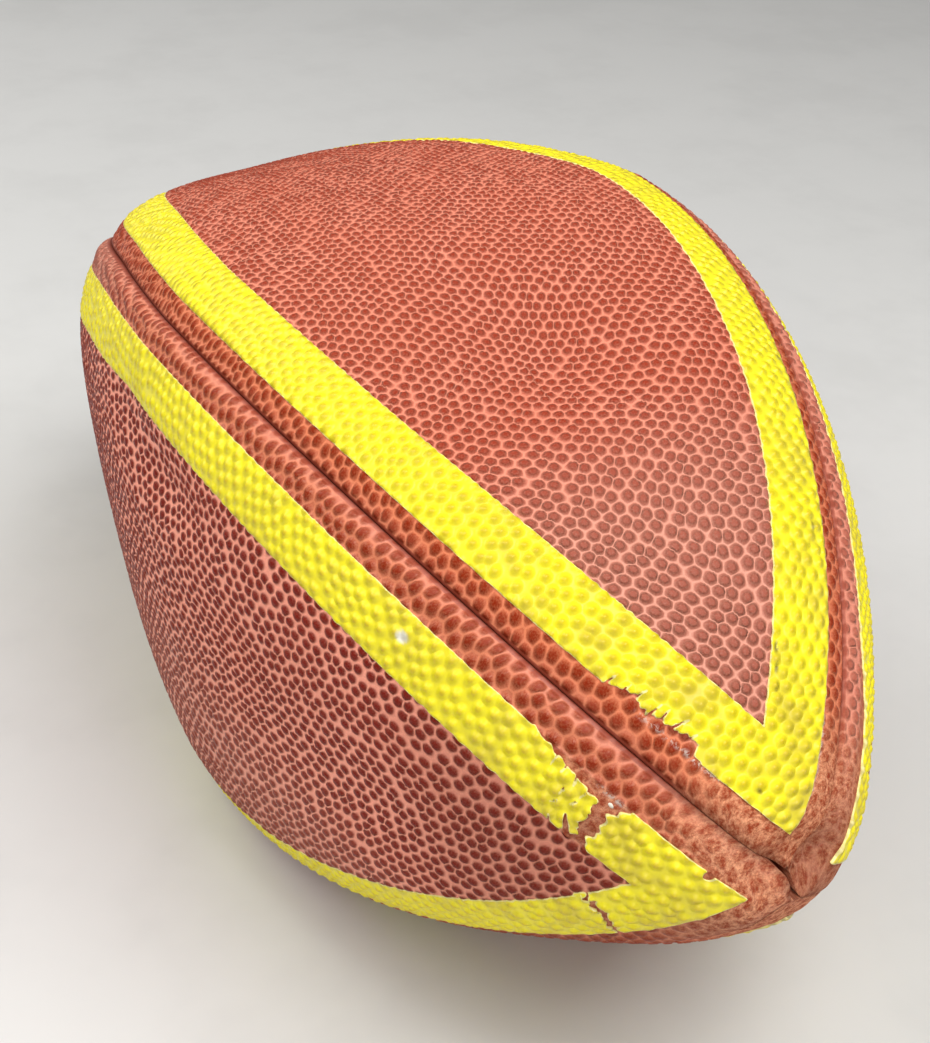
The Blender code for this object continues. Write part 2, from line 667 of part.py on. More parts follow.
def lace_point(x, offset, depth):
    """Point beside the laced seam at a depth under the outer form; offset is up the right panel."""
    s = x / HALF_LENGTH
    angle = lace_angle(x, offset)
    full = 2.0 * math.pi
    panel = "bottom" if offset < 0.0 else "right"
    start, end = panel_angles(panel, s)
    share = ((angle - start) % full) / (end - start)
    return place(s, angle, depth, dent_depth(panel, s, share))


def strip_solid(name, xs, offsets, depth_out, depth_in, finish, collection):
    """A strip that follows the ball's form beside the laced seam, between two depths."""
    bm = bmesh.new()
    layers = [[[bm.verts.new(lace_point(x, offset, depth)) for offset in offsets] for x in xs]
              for depth in (depth_out, depth_in)]
    for layer in layers:
        loft_rows(bm, layer)
    outer, inner = layers
    loft_rows(bm, [[a[0], b[0]] for a, b in zip(outer, inner)])
    loft_rows(bm, [[a[-1], b[-1]] for a, b in zip(outer, inner)])
    for end in (0, -1):
        loft_rows(bm, [[a, b] for a, b in zip(outer[end], inner[end])])
    return add_object(name, mesh_of(bm, name), finish, collection)


def add_lining(collection):
    """Reinforcing strip under the laced seam, between skin and bladder."""
    xs, offsets = (np.linspace(-half, half, 2 * steps + 1)
                   for half, steps in zip((LINING_HALF, LINING_WIDTH), LINING_STEPS))
    return strip_solid("lace_lining", xs, offsets, LINING_DEPTH, LINING_DEPTH + LINING_THICK, "lining",
                       collection)


def lace_stations():
    """Where the cross laces lie along the ball."""
    return [LACE_PITCH * (i - (LACE_CROSSES - 1) / 2.0) for i in range(LACE_CROSSES)]


def outward(x, offset):
    """Direction out of the ball beside the laced seam."""
    step = OUTWARD_STEP
    along = lace_point(x + step, offset, SKIN_SINK) - lace_point(x - step, offset, SKIN_SINK)
    across = lace_point(x, offset + step, SKIN_SINK) - lace_point(x, offset - step, SKIN_SINK)
    out = along.cross(across).normalized()
    away = lace_point(x, offset, SKIN_SINK) - Vector((x * MM, 0.0, REST_HEIGHT * MM))
    return out if out.dot(away) > 0 else -out


def add_lace(collection, cutters):
    """The lace: one lengthwise run over the seam and eight cross laces that dip into their eyelets."""
    reach = (LACE_CROSSES - 1) / 2.0 * LACE_PITCH + LACE_RUN_PAST
    xs = np.linspace(-reach, reach, 2 * LACE_RUN_STEPS + 1)
    across = (-LACE_RUN_HALF, 0.0, LACE_RUN_HALF)
    low = SKIN_SINK - LACE_RISE
    run = strip_solid("lace", xs, across, low - LACE_THICK, low, "lace", collection)
    end = EYELET_OFFSET + LACE_CROSS_PAST
    knee = (LACE_RUN_HALF + EYELET_OFFSET) / 2.0
    rise = low - LACE_CROSS_RISE * LACE_THICK
    pieces = []
    for x in lace_stations():
        sides = (x - LACE_WIDTH / 2.0, x + LACE_WIDTH / 2.0)
        pieces.append(strip_solid("cross", sides, (-end, -knee, *across, knee, end), rise - LACE_THICK, rise,
                                  "lace", collection))
        for side in (-EYELET_OFFSET, EYELET_OFFSET):
            out = outward(x, side)
            depth = SKIN_THICK + LACE_LEG_PAST
            foot = lace_point(x, side, SKIN_SINK) - out * depth * MM
            pieces.append(peg("leg", foot, out, (depth + LACE_THICK) * MM, LACE_LEG_RADIUS * MM,
                              LACE_LEG_SIDES, cutters))
    join(run, pieces)
    return run


def cut_eyelets(panels, cutters):
    """Eyelets for the lace through the two panels beside the laced seam, and the valve's hole."""
    start, length = EYELET_HOLE
    for panel, side in (("bottom", -EYELET_OFFSET), ("right", EYELET_OFFSET)):
        for x in lace_stations():
            out = outward(x, side)
            base = lace_point(x, side, SKIN_SINK) - out * start * MM
            hole = peg("eyelet", base, out, length * MM, EYELET_RADIUS * MM, EYELET_SIDES, cutters)
            cut(panels[panel], hole)
            remove_object(hole)
    middle, out = valve_frame()
    start, length = VALVE_HOLE
    hole = peg("valve_hole", middle - out * start * MM, out, length * MM,
               (VALVE_HEAD_RADIUS + VALVE_CLEARANCE) * MM, ROUND_SIDES, cutters)
    cut(panels["right"], hole)
    remove_object(hole)


# --- seam threads -----------------------------------------------------------------------------------
def add_thread(name, seam, span, collection):
    """Stitching thread that runs between the turned-in edges of one seam."""
    curve = bpy.data.curves.new(name, "CURVE")
    curve.dimensions = "3D"
    curve.bevel_depth = THREAD_DIAMETER / 2.0 * MM
    curve.bevel_resolution = 2
    curve.use_fill_caps = True
    spline = curve.splines.new("POLY")
    line = [span[0] + (span[1] - span[0]) * i / (THREAD_POINTS - 1) for i in range(THREAD_POINTS)]
    spline.points.add(len(line) - 1)
    top = SKIN_SINK + GROOVE_DEPTH
    for point, s in zip(spline.points, line):
        edges = [place(s, seam_angle(seam, s), depth) for depth in (top, RIB_DEPTH)]
        point.co = (*edges[0].lerp(edges[1], (THREAD_DEPTH - top) / (RIB_DEPTH - top)), 1.0)
    obj = bpy.data.objects.new(name, curve)
    collection.objects.link(obj)
    curve.materials.append(finish_material(name, FINISHES["thread"]))
    return obj


def main():
    """Clear the scene and build every piece."""
    for obj in list(bpy.data.objects):
        bpy.data.objects.remove(obj, do_unlink=True)
    ball = bpy.data.collections.new("deflated_football")
    cutters = bpy.data.collections.new("cutters")
    for collection in (ball, cutters):
        bpy.context.scene.collection.children.link(collection)

    panels = {name: add_object("panel_" + name, panel_mesh(name), "skin", ball) for name in PANELS}
    cut_eyelets(panels, cutters)

    chips = [NIBBLED[0] + NIBBLE_PITCH * i for i in range(int((NIBBLED[1] - NIBBLED[0]) / NIBBLE_PITCH) + 1)]
    add_film("stripe_top", whole_stripe("top", chips, chipped=True), ball)
    add_film("stripe_right", whole_stripe("right"), ball)
    add_film("stripe_bottom", whole_stripe("bottom"), ball)
    add_film("stripe_left", left_stripe(), ball)
    add_film("stripe_left_flake", left_flake(), ball)

    add_bladder(ball, cutters)
    add_valve(ball)
    add_lining(ball)
    add_lace(ball, cutters)

    for seam in ("top_left", "top_right", "bottom_left"):
        add_thread("seam_thread_" + seam, seam, (-THREAD_REACH, THREAD_REACH), ball)
    sewn_from = (LACED_HALF + THREAD_START) / HALF_LENGTH
    add_thread("seam_thread_bottom_right_near", "bottom_right", (sewn_from, THREAD_REACH), ball)
    add_thread("seam_thread_bottom_right_far", "bottom_right", (-THREAD_REACH, -sewn_from), ball)


main()
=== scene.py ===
"""Looks of a sewn football gone flat: pebbled skin, worn stripe films, lacing and valve, on a pale floor.

The ball's outer form is worked out from the same sizes as its solids. X runs along the ball towards its
worn end and Z is up. Sizes are in millimetres until a mesh is made, which is in metres.
"""

import logging
import math
from collections.abc import Callable
from dataclasses import dataclass, field
from enum import Enum
from functools import partial
from types import SimpleNamespace

import bmesh
import bpy
import numpy as np
from mathutils import Matrix, Vector

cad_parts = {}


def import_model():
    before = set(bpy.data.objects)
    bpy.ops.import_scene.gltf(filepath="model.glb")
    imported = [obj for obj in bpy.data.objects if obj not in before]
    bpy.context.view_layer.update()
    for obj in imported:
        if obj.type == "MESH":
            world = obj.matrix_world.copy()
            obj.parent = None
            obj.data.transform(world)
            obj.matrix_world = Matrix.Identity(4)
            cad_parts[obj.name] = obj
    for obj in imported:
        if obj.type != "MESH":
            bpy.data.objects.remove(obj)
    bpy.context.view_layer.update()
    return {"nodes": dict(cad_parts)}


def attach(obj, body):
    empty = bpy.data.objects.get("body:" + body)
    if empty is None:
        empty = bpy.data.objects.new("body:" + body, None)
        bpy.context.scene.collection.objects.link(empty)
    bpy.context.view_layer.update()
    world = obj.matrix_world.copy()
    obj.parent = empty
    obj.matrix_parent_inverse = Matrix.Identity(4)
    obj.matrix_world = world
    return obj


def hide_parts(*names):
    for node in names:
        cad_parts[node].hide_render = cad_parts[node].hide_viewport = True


MM = 0.001
BODY = "root"
WAVES = 5            # waves that make up a ripple, and about how high they reach together
WAVES_REACH = 2.6
log = logging.getLogger("football")

Array = np.ndarray
Socket = bpy.types.NodeSocket
Material = bpy.types.Material
Object = bpy.types.Object
Mesh = bpy.types.Mesh
Tree = bpy.types.NodeTree
BMesh = bmesh.types.BMesh
Value = Socket | float | tuple | str
Add = Callable[..., Socket]
Colour = tuple[float, float, float, float]
Move = tuple[float, float, float]
Stretch = tuple[float, float]
Line = tuple[float, ...]


# --- small helpers ----------------------------------------------------------------------------------
def hex_colour(code: str) -> Colour:
    """Turn an sRGB hex colour into the linear one that shaders take.

    Args:
        code: Six hex digits, with or without a leading '#'.

    Returns:
        Red, green, blue and alpha.
    """
    digits = code.lstrip("#")
    shares = [int(digits[i:i + 2], 16) / 255.0 for i in (0, 2, 4)]
    linear = [c / 12.92 if c <= 0.04045 else ((c + 0.055) / 1.055) ** 2.4 for c in shares]
    return (*linear, 1.0)


class Node(Enum):
    """Kinds of node: type, settings, the inputs that take its values in turn, and the output in use."""

    NUMBER = ("ShaderNodeAttribute", {}, (), 2)
    TRIPLE = ("ShaderNodeAttribute", {}, (), 1)
    PARTS = ("ShaderNodeSeparateXYZ", {}, (0,), None)
    OBJECT_PLACE = ("ShaderNodeTexCoord", {}, (), 3)
    MIX = ("ShaderNodeMix", {"data_type": "RGBA"}, (0, 6, 7), 2)
    DARKEN = ("ShaderNodeMix", {"data_type": "RGBA", "blend_type": "MULTIPLY"}, (0, 6, 7), 2)
    MIX_NUMBERS = ("ShaderNodeMix", {"data_type": "FLOAT"}, (0, 2, 3), 0)
    EASE = ("ShaderNodeMapRange", {"interpolation_type": "SMOOTHSTEP"}, (0, 1, 2, 3, 4), 0)
    NOISE = ("ShaderNodeTexNoise", {}, (0, 2, 3, 4), 0)   # place, scale, detail, roughness
    BUMP = ("ShaderNodeBump", {}, (3, 1, 4), 0)           # height, distance, normal under it
    TIMES = ("ShaderNodeMath", {"operation": "MULTIPLY"}, (0, 1), 0)
    PLUS = ("ShaderNodeMath", {"operation": "ADD"}, (0, 1), 0)
    MINUS = ("ShaderNodeMath", {"operation": "SUBTRACT"}, (0, 1), 0)
    TIMES_PLUS = ("ShaderNodeMath", {"operation": "MULTIPLY_ADD"}, (0, 1, 2), 0)
    LEAST = ("ShaderNodeMath", {"operation": "MINIMUM"}, (0, 1), 0)
    MOST = ("ShaderNodeMath", {"operation": "MAXIMUM"}, (0, 1), 0)
    ABSOLUTE = ("ShaderNodeMath", {"operation": "ABSOLUTE"}, (0,), 0)
    SINE = ("ShaderNodeMath", {"operation": "SINE"}, (0,), 0)
    NEAREST_POINT = ("ShaderNodeTexVoronoi", {"voronoi_dimensions": "2D", "feature": "F1"}, (0, 2, 8), 2)
    SECOND_POINT = ("ShaderNodeTexVoronoi", {"voronoi_dimensions": "2D", "feature": "F2"}, (0, 2, 8), 2)
    VECTOR_TIMES = ("ShaderNodeVectorMath", {"operation": "MULTIPLY"}, (0, 1), 0)
    VECTOR_MINUS = ("ShaderNodeVectorMath", {"operation": "SUBTRACT"}, (0, 1), 0)
    VECTOR_TIMES_PLUS = ("ShaderNodeVectorMath", {"operation": "MULTIPLY_ADD"}, (0, 1, 2), 0)
    VECTOR_LENGTH = ("ShaderNodeVectorMath", {"operation": "LENGTH"}, (0,), 1)
    VECTOR_SCALED = ("ShaderNodeVectorMath", {"operation": "SCALE"}, (0, 3), 0)
    MESH_NUMBER = ("GeometryNodeInputNamedAttribute", {"data_type": "FLOAT"}, (0,), 0)
    MESH_TRIPLE = ("GeometryNodeInputNamedAttribute", {"data_type": "FLOAT_VECTOR"}, (0,), 0)
    MESH_NORMAL = ("GeometryNodeInputNormal", {}, (), 0)
    SHIFT_POINTS = ("GeometryNodeSetPosition", {}, (0, 3), 0)
    GROUP_IN = ("NodeGroupInput", {}, (), 0)
    GROUP_OUT = ("NodeGroupOutput", {}, (0,), None)


def set_inputs(node: bpy.types.Node, values: dict) -> None:
    """Give a node's inputs, by name or number, their values or links.

    Args:
        node: The node.
        values: Values or sockets, by name or number of the input.
    """
    for key, value in values.items():
        if isinstance(value, Socket):
            node.id_data.links.new(value, node.inputs[key])
        else:
            node.inputs[key].default_value = value


def add_node(tree: Tree, kind: Node, *values: Value, **settings) -> Socket:
    """Add a node with its settings, values and links.

    Args:
        tree: Node tree that gets the node.
        kind: Which node.
        values: Values or sockets for its inputs, in the kind's order; the rest keep their own.
        settings: Properties of the node, beyond the kind's.

    Returns:
        The kind's output, or all outputs of a kind that names none.
    """
    type_name, kind_settings, inputs, output = kind.value
    node = tree.nodes.new(type_name)
    for name, value in {**kind_settings, **settings}.items():
        setattr(node, name, value)
    set_inputs(node, dict(zip(inputs, values)))
    return node.outputs if output is None else node.outputs[output]


def smooth(value: Array | float, low: float = 0.0, high: float = 1.0) -> Array:
    """Ease from 0 to 1 while a value goes from low to high."""
    share = np.clip((np.asarray(value, float) - low) / (high - low), 0.0, 1.0)
    return share * share * (3.0 - 2.0 * share)


def hill(value: Array, middle: float, reach: float) -> Array:
    """Bell that is 1 where a value lies at its middle and falls off over its reach."""
    return np.exp(-((value - middle) / reach) ** 2)


def ripple(place: Array, pitch: float, seed: int) -> Array:
    """Irregular waviness along a line, the same on every run.

    Args:
        place: Distances along the line.
        pitch: Mean length of a wave.
        seed: Chooses the waves.

    Returns:
        Values between about -1 and 1, one for each place.
    """
    waves = np.random.default_rng(seed)
    total = np.zeros_like(np.asarray(place, float))
    for _ in range(WAVES):
        length, start = pitch * waves.uniform(0.7, 1.7), waves.uniform(0.0, 2.0 * math.pi)
        total += np.sin(2.0 * math.pi * np.asarray(place) / length + start)
    return total / WAVES_REACH


def along_rows(points: Array) -> Array:
    """Distance run along a line of points, starting at 0."""
    return np.concatenate(([0.0], np.cumsum(np.linalg.norm(np.diff(points, axis=0), axis=-1))))


# --- the ball's form --------------------------------------------------------------------------------
class Seam(Enum):
    """The four seams, named for where they lie."""

    TOP_RIGHT = "top_right"
    TOP_LEFT = "top_left"
    BOTTOM_LEFT = "bottom_left"
    BOTTOM_RIGHT = "bottom_right"


class Side(Enum):
    """The four panels, each with the seams that it starts and ends at."""

    TOP = (Seam.TOP_RIGHT, Seam.TOP_LEFT)
    LEFT = (Seam.TOP_LEFT, Seam.BOTTOM_LEFT)
    BOTTOM = (Seam.BOTTOM_LEFT, Seam.BOTTOM_RIGHT)
    RIGHT = (Seam.BOTTOM_RIGHT, Seam.TOP_RIGHT)

    @property
    def label(self) -> str:
        """Name of the side as the pieces carry it."""
        return self.name.lower()

    @property
    def number(self) -> int:
        """Number of the side, from 0."""
        return list(Side).index(self)


@dataclass(frozen=True)
class SeamLine:
    """Angle of a seam about the ball's axis from +Y, in degrees, and how it wanders along the ball."""

    angle: float
    twist: float
    bow: float


@dataclass(frozen=True)
class Dent:
    """A soft dent: place and length along X, place and width as shares of its panel's width."""

    x: float
    across: float
    depth: float
    length: float
    width: float


@dataclass(frozen=True)
class BallForm:
    """The slack ball's outer form, with the sizes of its solids."""

    half_length: float = 140.0
    top_reach: float = 66.0
    bottom_reach: float = 74.0
    right_reach: float = 68.0
    left_reach: float = 67.0
    top_slant: float = 0.11
    right_slant: float = 0.01
    left_slant: float = 0.09
    bottom_taper: float = 0.31
    section_power: float = 4.3
    section_power_fall: float = 2.0
    length_power: float = 1.93
    length_bluntness: float = 0.657
    bow_side: float = 6.3
    bow_down: float = 1.0
    roll: float = math.radians(4.0)
    rest_height: float = 69.5
    floor_blend: float = 2.0
    floor_lift: float = 0.4  # a layer under the outermost one rests this much higher than its depth says
    wall_depth: float = 3.2
    end_inset: float = 1.8
    seam_gap: float = 0.3
    groove_depth: float = 2.2
    groove_limit: float = 0.35
    lip_width: float = 6.4
    seam_bow_centre: float = 0.4
    seams: dict = field(default_factory=lambda: {
        Seam.TOP_RIGHT: SeamLine(47.8, -3.2, 6.2), Seam.TOP_LEFT: SeamLine(133.9, -1.8, 0.3),
        Seam.BOTTOM_LEFT: SeamLine(231.3, -8.1, 0.0), Seam.BOTTOM_RIGHT: SeamLine(315.0, 0.0, 0.0)})
    dents: dict = field(default_factory=lambda: {
        Side.TOP: (Dent(53.0, 0.56, 5.6, 21.0, 0.26), Dent(14.0, 0.78, 1.4, 24.0, 0.08),
                   Dent(-70.0, 0.45, 0.6, 30.0, 0.20), Dent(-20.0, 0.17, 1.0, 24.0, 0.12)),
        Side.LEFT: (Dent(14.0, 0.20, 3.0, 20.0, 0.06), Dent(-4.0, 0.14, 1.6, 12.0, 0.05),
                    Dent(62.0, 0.60, 1.8, 26.0, 0.20), Dent(-64.0, 0.45, -0.5, 36.0, 0.26),
                    Dent(-56.0, 0.08, -0.6, 24.0, 0.14)),
        Side.BOTTOM: (),
        Side.RIGHT: (Dent(-12.0, 0.52, 4.5, 42.0, 0.20), Dent(66.0, 0.50, 2.0, 22.0, 0.18))})

    def profile(self, s: Array) -> Array:
        """Share of the full width left at station s, which runs from -1 to 1 along the ball."""
        return np.maximum(1.0 - np.abs(s) ** self.length_power, 0.0) ** self.length_bluntness

    def seam_angle(self, seam: Seam, s: Array) -> Array:
        """Angle of a seam about the ball's axis, in radians."""
        line = self.seams[seam]
        return np.radians(line.angle + line.twist * s + line.bow * (s * s - self.seam_bow_centre))

    def panel_angles(self, side: Side, s: Array) -> tuple[Array, Array]:
        """Start and end angle of a panel, with the end always the larger."""
        start, end = (self.seam_angle(seam, s) for seam in side.value)
        return start, np.where(end > start, end, end + 2.0 * math.pi)

    def section(self, s: Array, angle: Array) -> Array:
        """Distance from the axis to the outer form at full width.

        Args:
            s: Stations along the ball.
            angle: Angles about its axis.

        Returns:
            Distance in each direction.
        """
        power = self.section_power - self.section_power_fall * np.abs(s)
        side, up = np.cos(angle), np.sin(angle)
        reach_side = np.where(side > 0, self.right_reach * (1 + self.right_slant * s),
                              self.left_reach * (1 + self.left_slant * s))
        reach_up = np.where(up > 0, self.top_reach * (1 + self.top_slant * s),
                            self.bottom_reach * (1 - self.bottom_taper * s * s))
        return ((np.abs(side) / reach_side) ** power + (np.abs(up) / reach_up) ** power) ** (-1.0 / power)

    def settle(self, height: Array, floor: Array) -> Array:
        """Press heights flat against a level, with a rounded edge.

        Args:
            height: Heights.
            floor: The level.

        Returns:
            Heights of which none lies under the level.
        """
        over = height - floor
        eased = floor + np.square(over + self.floor_blend) / (4.0 * self.floor_blend)
        return np.where(over >= self.floor_blend, height, np.where(over <= -self.floor_blend, floor, eased))

    def dent_depth(self, side: Side, s: Array, share: Array) -> Array:
        """How far the dents push a panel's skin inwards.

        Args:
            side: The panel.
            s: Stations along the ball.
            share: Shares of the panel's width.

        Returns:
            Depth at each place.
        """
        x = s * self.half_length
        total = np.zeros(np.broadcast(x, share).shape)
        for d in self.dents[side]:
            total = total + d.depth * np.exp(-((x - d.x) / d.length) ** 2
                                             - ((share - d.across) / d.width) ** 2)
        return total

    def groove(self, distance: Array) -> Array:
        """Depth of the rolled lip at a distance from its seam."""
        close = np.clip(1.0 - distance / self.lip_width, 0.0, 1.0)
        return self.groove_depth * (1.0 - np.sqrt(1.0 - close * close))

    def place(self, s: Array, angle: Array, depth: Array, sink: Array = 0.0, shift: Array = 0.0) -> Array:
        """Points at a depth under the outer form.

        Args:
            s: Stations along the ball.
            angle: Angles about its axis.
            depth: Depth under the outer form, which shrinks with the ball's width.
            sink: Further depth of grooves and dents, which doesn't shrink.
            shift: Distance sideways, anticlockwise seen from the worn end.

        Returns:
            Points in millimetres, with X, Y and Z last.
        """
        reach = self.profile(s) * (self.section(s, angle) - depth) - sink
        side = reach * np.cos(angle) - shift * np.sin(angle) + self.bow_side * (1.0 - s * s)
        up = reach * np.sin(angle) + shift * np.cos(angle) - self.bow_down * (1.0 - s * s)
        y = side * math.cos(self.roll) - up * math.sin(self.roll)
        z = side * math.sin(self.roll) + up * math.cos(self.roll) + self.rest_height
        x = (self.half_length - self.end_inset * depth) * s
        z = self.settle(z, np.minimum(depth, self.wall_depth) + self.floor_lift)
        return np.stack(np.broadcast_arrays(x, y, z), axis=-1)


@dataclass(frozen=True)
class Layout:
    """How finely the skin is drawn: rows across the ball, closer together towards its worn end."""

    rows: int
    columns: int
    crowd: float = 1.6       # how many times closer the rows lie towards the worn end
    crowd_from: float = -10.0
    crowd_to: float = 70.0
    fine: float = 0.0        # and how many times more in the stretch where a film is torn
    fine_span: Stretch = (106.0, 129.0)
    fine_ramp: float = 6.0
    edge_crowd: float = 0.35  # how much closer the columns lie beside the seams
    tip: float = 0.9996      # the last row lies at this station, just short of the tip
    run_steps: int = 6001

    def stations(self, form: BallForm) -> Array:
        """Stations of the rows, spaced by distance along the skin.

        Args:
            form: The ball's form.

        Returns:
            Station of each row.
        """
        s = np.sin(np.linspace(-math.pi / 2.0, math.pi / 2.0, self.run_steps)) * self.tip
        x = s * form.half_length
        run = along_rows(np.stack((x, form.top_reach * form.profile(s)), axis=-1))
        middle = (x[1:] + x[:-1]) / 2.0
        low, high = self.fine_span
        dense = 1.0 + self.crowd * smooth(middle, self.crowd_from, self.crowd_to)
        dense += self.fine * smooth(middle, low - self.fine_ramp, low) * (
            1.0 - smooth(middle, high, high + self.fine_ramp))
        count = np.concatenate(([0.0], np.cumsum(np.diff(run) * dense)))
        return np.interp(np.linspace(0.0, count[-1], self.rows), count, s)

    def shares(self) -> Array:
        """Shares of a panel's width at which the columns lie."""
        even = np.linspace(0.0, 1.0, self.columns)
        return even - self.edge_crowd * np.sin(2.0 * math.pi * even) / (2.0 * math.pi)


@dataclass
class PanelSheet:
    """A panel's skin laid out in rows and columns, with every point's distance from both seams."""

    form: BallForm
    side: Side
    layout: Layout
    table_steps: int = 144
    seam_fill: float = 0.66     # share of the groove's depth that the sewn edges fill
    shallow_fill: float = 0.62  # and at the top right seam
    worn_fill: float = 0.16     # how much less they fill towards the worn end
    worn_span: Stretch = (20.0, 95.0)
    fill_reach: float = 1.4
    inner_edge: float = 16.5    # from a seam: where the pattern turns from film to field
    outer_edge: float = 5.6     # and from strip to film
    far_strip_rate: float = 0.75
    seam_gap: float = 0.09      # the sewn edges press together at the surface

    def __post_init__(self) -> None:
        """Work out the angles, distances and the flat pattern that the grain follows."""
        form, t = self.form, self.layout.shares()
        s = self.s = self.layout.stations(form)
        self.x = s * form.half_length
        start, end = form.panel_angles(self.side, s)
        spread = np.linspace(0.0, 1.0, self.table_steps + 1)
        angles = start[:, None] + (end - start)[:, None] * spread
        reach = form.profile(s)[:, None] * form.section(s[:, None], angles)
        steps = np.hypot(np.diff(reach * np.cos(angles)), np.diff(reach * np.sin(angles)))
        lengths = np.concatenate((np.zeros((len(s), 1)), np.cumsum(steps, axis=1)), axis=1)
        self.arc = lengths[:, -1]
        self.angle = np.stack([np.interp(t * run[-1], run, line) for run, line in zip(lengths, angles)])
        self.start, self.end = start, end
        self.share = (self.angle - start[:, None]) / (end - start)[:, None]
        middle = form.place(s, (start + end) / 2.0, 0.0)
        self.length = along_rows(middle)
        self.taper = np.gradient(self.arc / 2.0, self.length)
        self.half = self.arc / 2.0 / np.hypot(1.0, self.taper)
        self.near = t[None, :] * 2.0 * self.half[:, None]
        self.far = (1.0 - t)[None, :] * 2.0 * self.half[:, None]
        self.seam_run = [self._from_middle(along_rows(form.place(s, edge, 0.0))) for edge in (start, end)]
        self.t = t

    def _from_middle(self, run: Array) -> Array:
        """Count a distance along the rows from the middle of the ball."""
        return run - np.interp(0.0, self.x, run)

    @property
    def closest(self) -> Array:
        """Distance to the nearer seam."""
        return np.minimum(self.near, self.far)

    def distance(self, from_end: bool) -> Array:
        """Distance to the seam that the panel ends at, or to the one it starts at."""
        return self.far if from_end else self.near

    def beside(self, from_end: bool) -> Array:
        """How far along a seam each point lies, measured square to it."""
        return self.seam_run[from_end][:, None] - self.distance(from_end) * self.taper[:, None]

    def spot(self, from_end: bool, x: float, distance: float) -> tuple[float, float]:
        """A place given by X and its distance from a seam, as distances along and from that seam."""
        run = np.interp(x, self.x, self.seam_run[from_end]) - distance * np.interp(x, self.x, self.taper)
        return float(run), distance

    def fill(self, seam: Seam) -> Array:
        """Share of the groove's depth that is filled at a seam, at each row: less towards the worn end."""
        full = self.shallow_fill if seam is Seam.TOP_RIGHT else self.seam_fill
        return (full - self.worn_fill * smooth(self.x, *self.worn_span))[:, None]

    def rates(self) -> tuple[Array, Array, float, float]:
        """How tightly the pebbles lie, against their common pitch.

        Returns:
            Along the panel and across its field at each row, then across its film and across the strip
            beside the seam it starts at.
        """
        even = np.ones_like(self.x)
        if self.side is Side.TOP:   # tighter towards the worn end
            near_tip = smooth(self.x, 20.0, 85.0)
            return 1.02 - 0.14 * near_tip, 1.12 - 0.24 * near_tip, 0.78, 0.85
        if self.side is Side.LEFT:
            return 0.82 * even, 0.86 * even, 0.80, 0.76
        return 0.95 * even, even, 0.82, 0.85

    def pattern(self, seed: int) -> Array:
        """Flat pattern coordinates in millimetres, as if the panel were unrolled, for its grain.

        Args:
            seed: Chooses the part of the pattern.

        Returns:
            Coordinates by row and column.
        """
        turn = (2.0 * self.t - 1.0)[None, :] * self.taper[:, None]
        square = np.maximum(turn * turn, 1e-9)
        half = (self.arc / 2.0)[:, None]
        across = (2.0 * self.t - 1.0)[None, :]
        along, field_rate, film_rate, strip_rate = self.rates()
        run = along_rows(np.stack((np.cumsum(np.gradient(self.length) * along), 0.0 * self.x), axis=-1))
        bend = half * self.taper[:, None] * across * across * (1.0 - np.cos(turn)) / square
        u = run[:, None] - along[:, None] * bend
        v = half * across * np.sinc(turn / math.pi) * field_rate[:, None]
        for sign, distance, last in ((1.0, self.near, strip_rate), (-1.0, self.far, self.far_strip_rate)):
            v = v + sign * ((field_rate[:, None] - film_rate) * np.logaddexp(0.0, self.inner_edge - distance)
                            + (film_rate - last) * np.logaddexp(0.0, self.outer_edge - distance))
        if self.side is Side.LEFT:   # its rows lean
            u = u + 0.2 * v
        offset = 37.0 * seed
        warp_u = 0.6 * np.sin(v / 5.3 + u / 9.0 + seed) + 0.5 * np.sin(u / 17.0 - v / 13.0)
        warp_v = 0.6 * np.sin(u / 6.1 - v / 11.0 + seed) + 0.4 * np.sin(v / 15.0 + u / 23.0)
        return np.stack((u + warp_u + offset, v + warp_v + 2.0 * offset, np.zeros_like(u)), axis=-1)

    def shape(self, depth: Array | float, extra: Array | float = 0.0, slack: "Slack | None" = None) -> Array:
        """Points of a layer of the skin.

        Args:
            depth: Depth of the layer under the outer form.
            extra: Further sink of each point.
            slack: How the panels stand against each other.

        Returns:
            Points in millimetres by row and column.
        """
        form, s = self.form, self.s[:, None]
        limit = form.groove_limit * form.profile(s) * form.section(s, self.angle)
        lips = sum(form.groove(d) * (1.0 - self.fill(seam) * np.exp(-np.square(d / self.fill_reach)))
                   for seam, d in zip(self.side.value, (self.near, self.far)))
        lips = np.minimum(lips, limit)
        sink = lips + form.dent_depth(self.side, s, self.share) + extra
        if slack:
            sink = sink + slack.rolled(self)
        points = form.place(s, self.angle, depth, sink, self.seam_gap * (0.5 - self.share))
        return slack.drifted(self, points, self.near, self.far) if slack else points


@dataclass(frozen=True)
class Drift:
    """How far a panel's worn point has moved, over which stretch along X, and how its very tip moved on."""

    move: Move
    start: float
    end: float
    tip: Move = (0.0, 0.0, 0.0)
    last: Stretch = (136.0, 139.7)   # the stretch over which the very tip moves


@dataclass(frozen=True)
class Lip:
    """A roll of skin beside a seam: how much it stands proud, where its crest lies and how wide it is.

    Towards the worn tip it can stand prouder still.
    """

    rise: float
    crest: float = 2.7
    width: float = 1.9
    tip_rise: float = 0.0


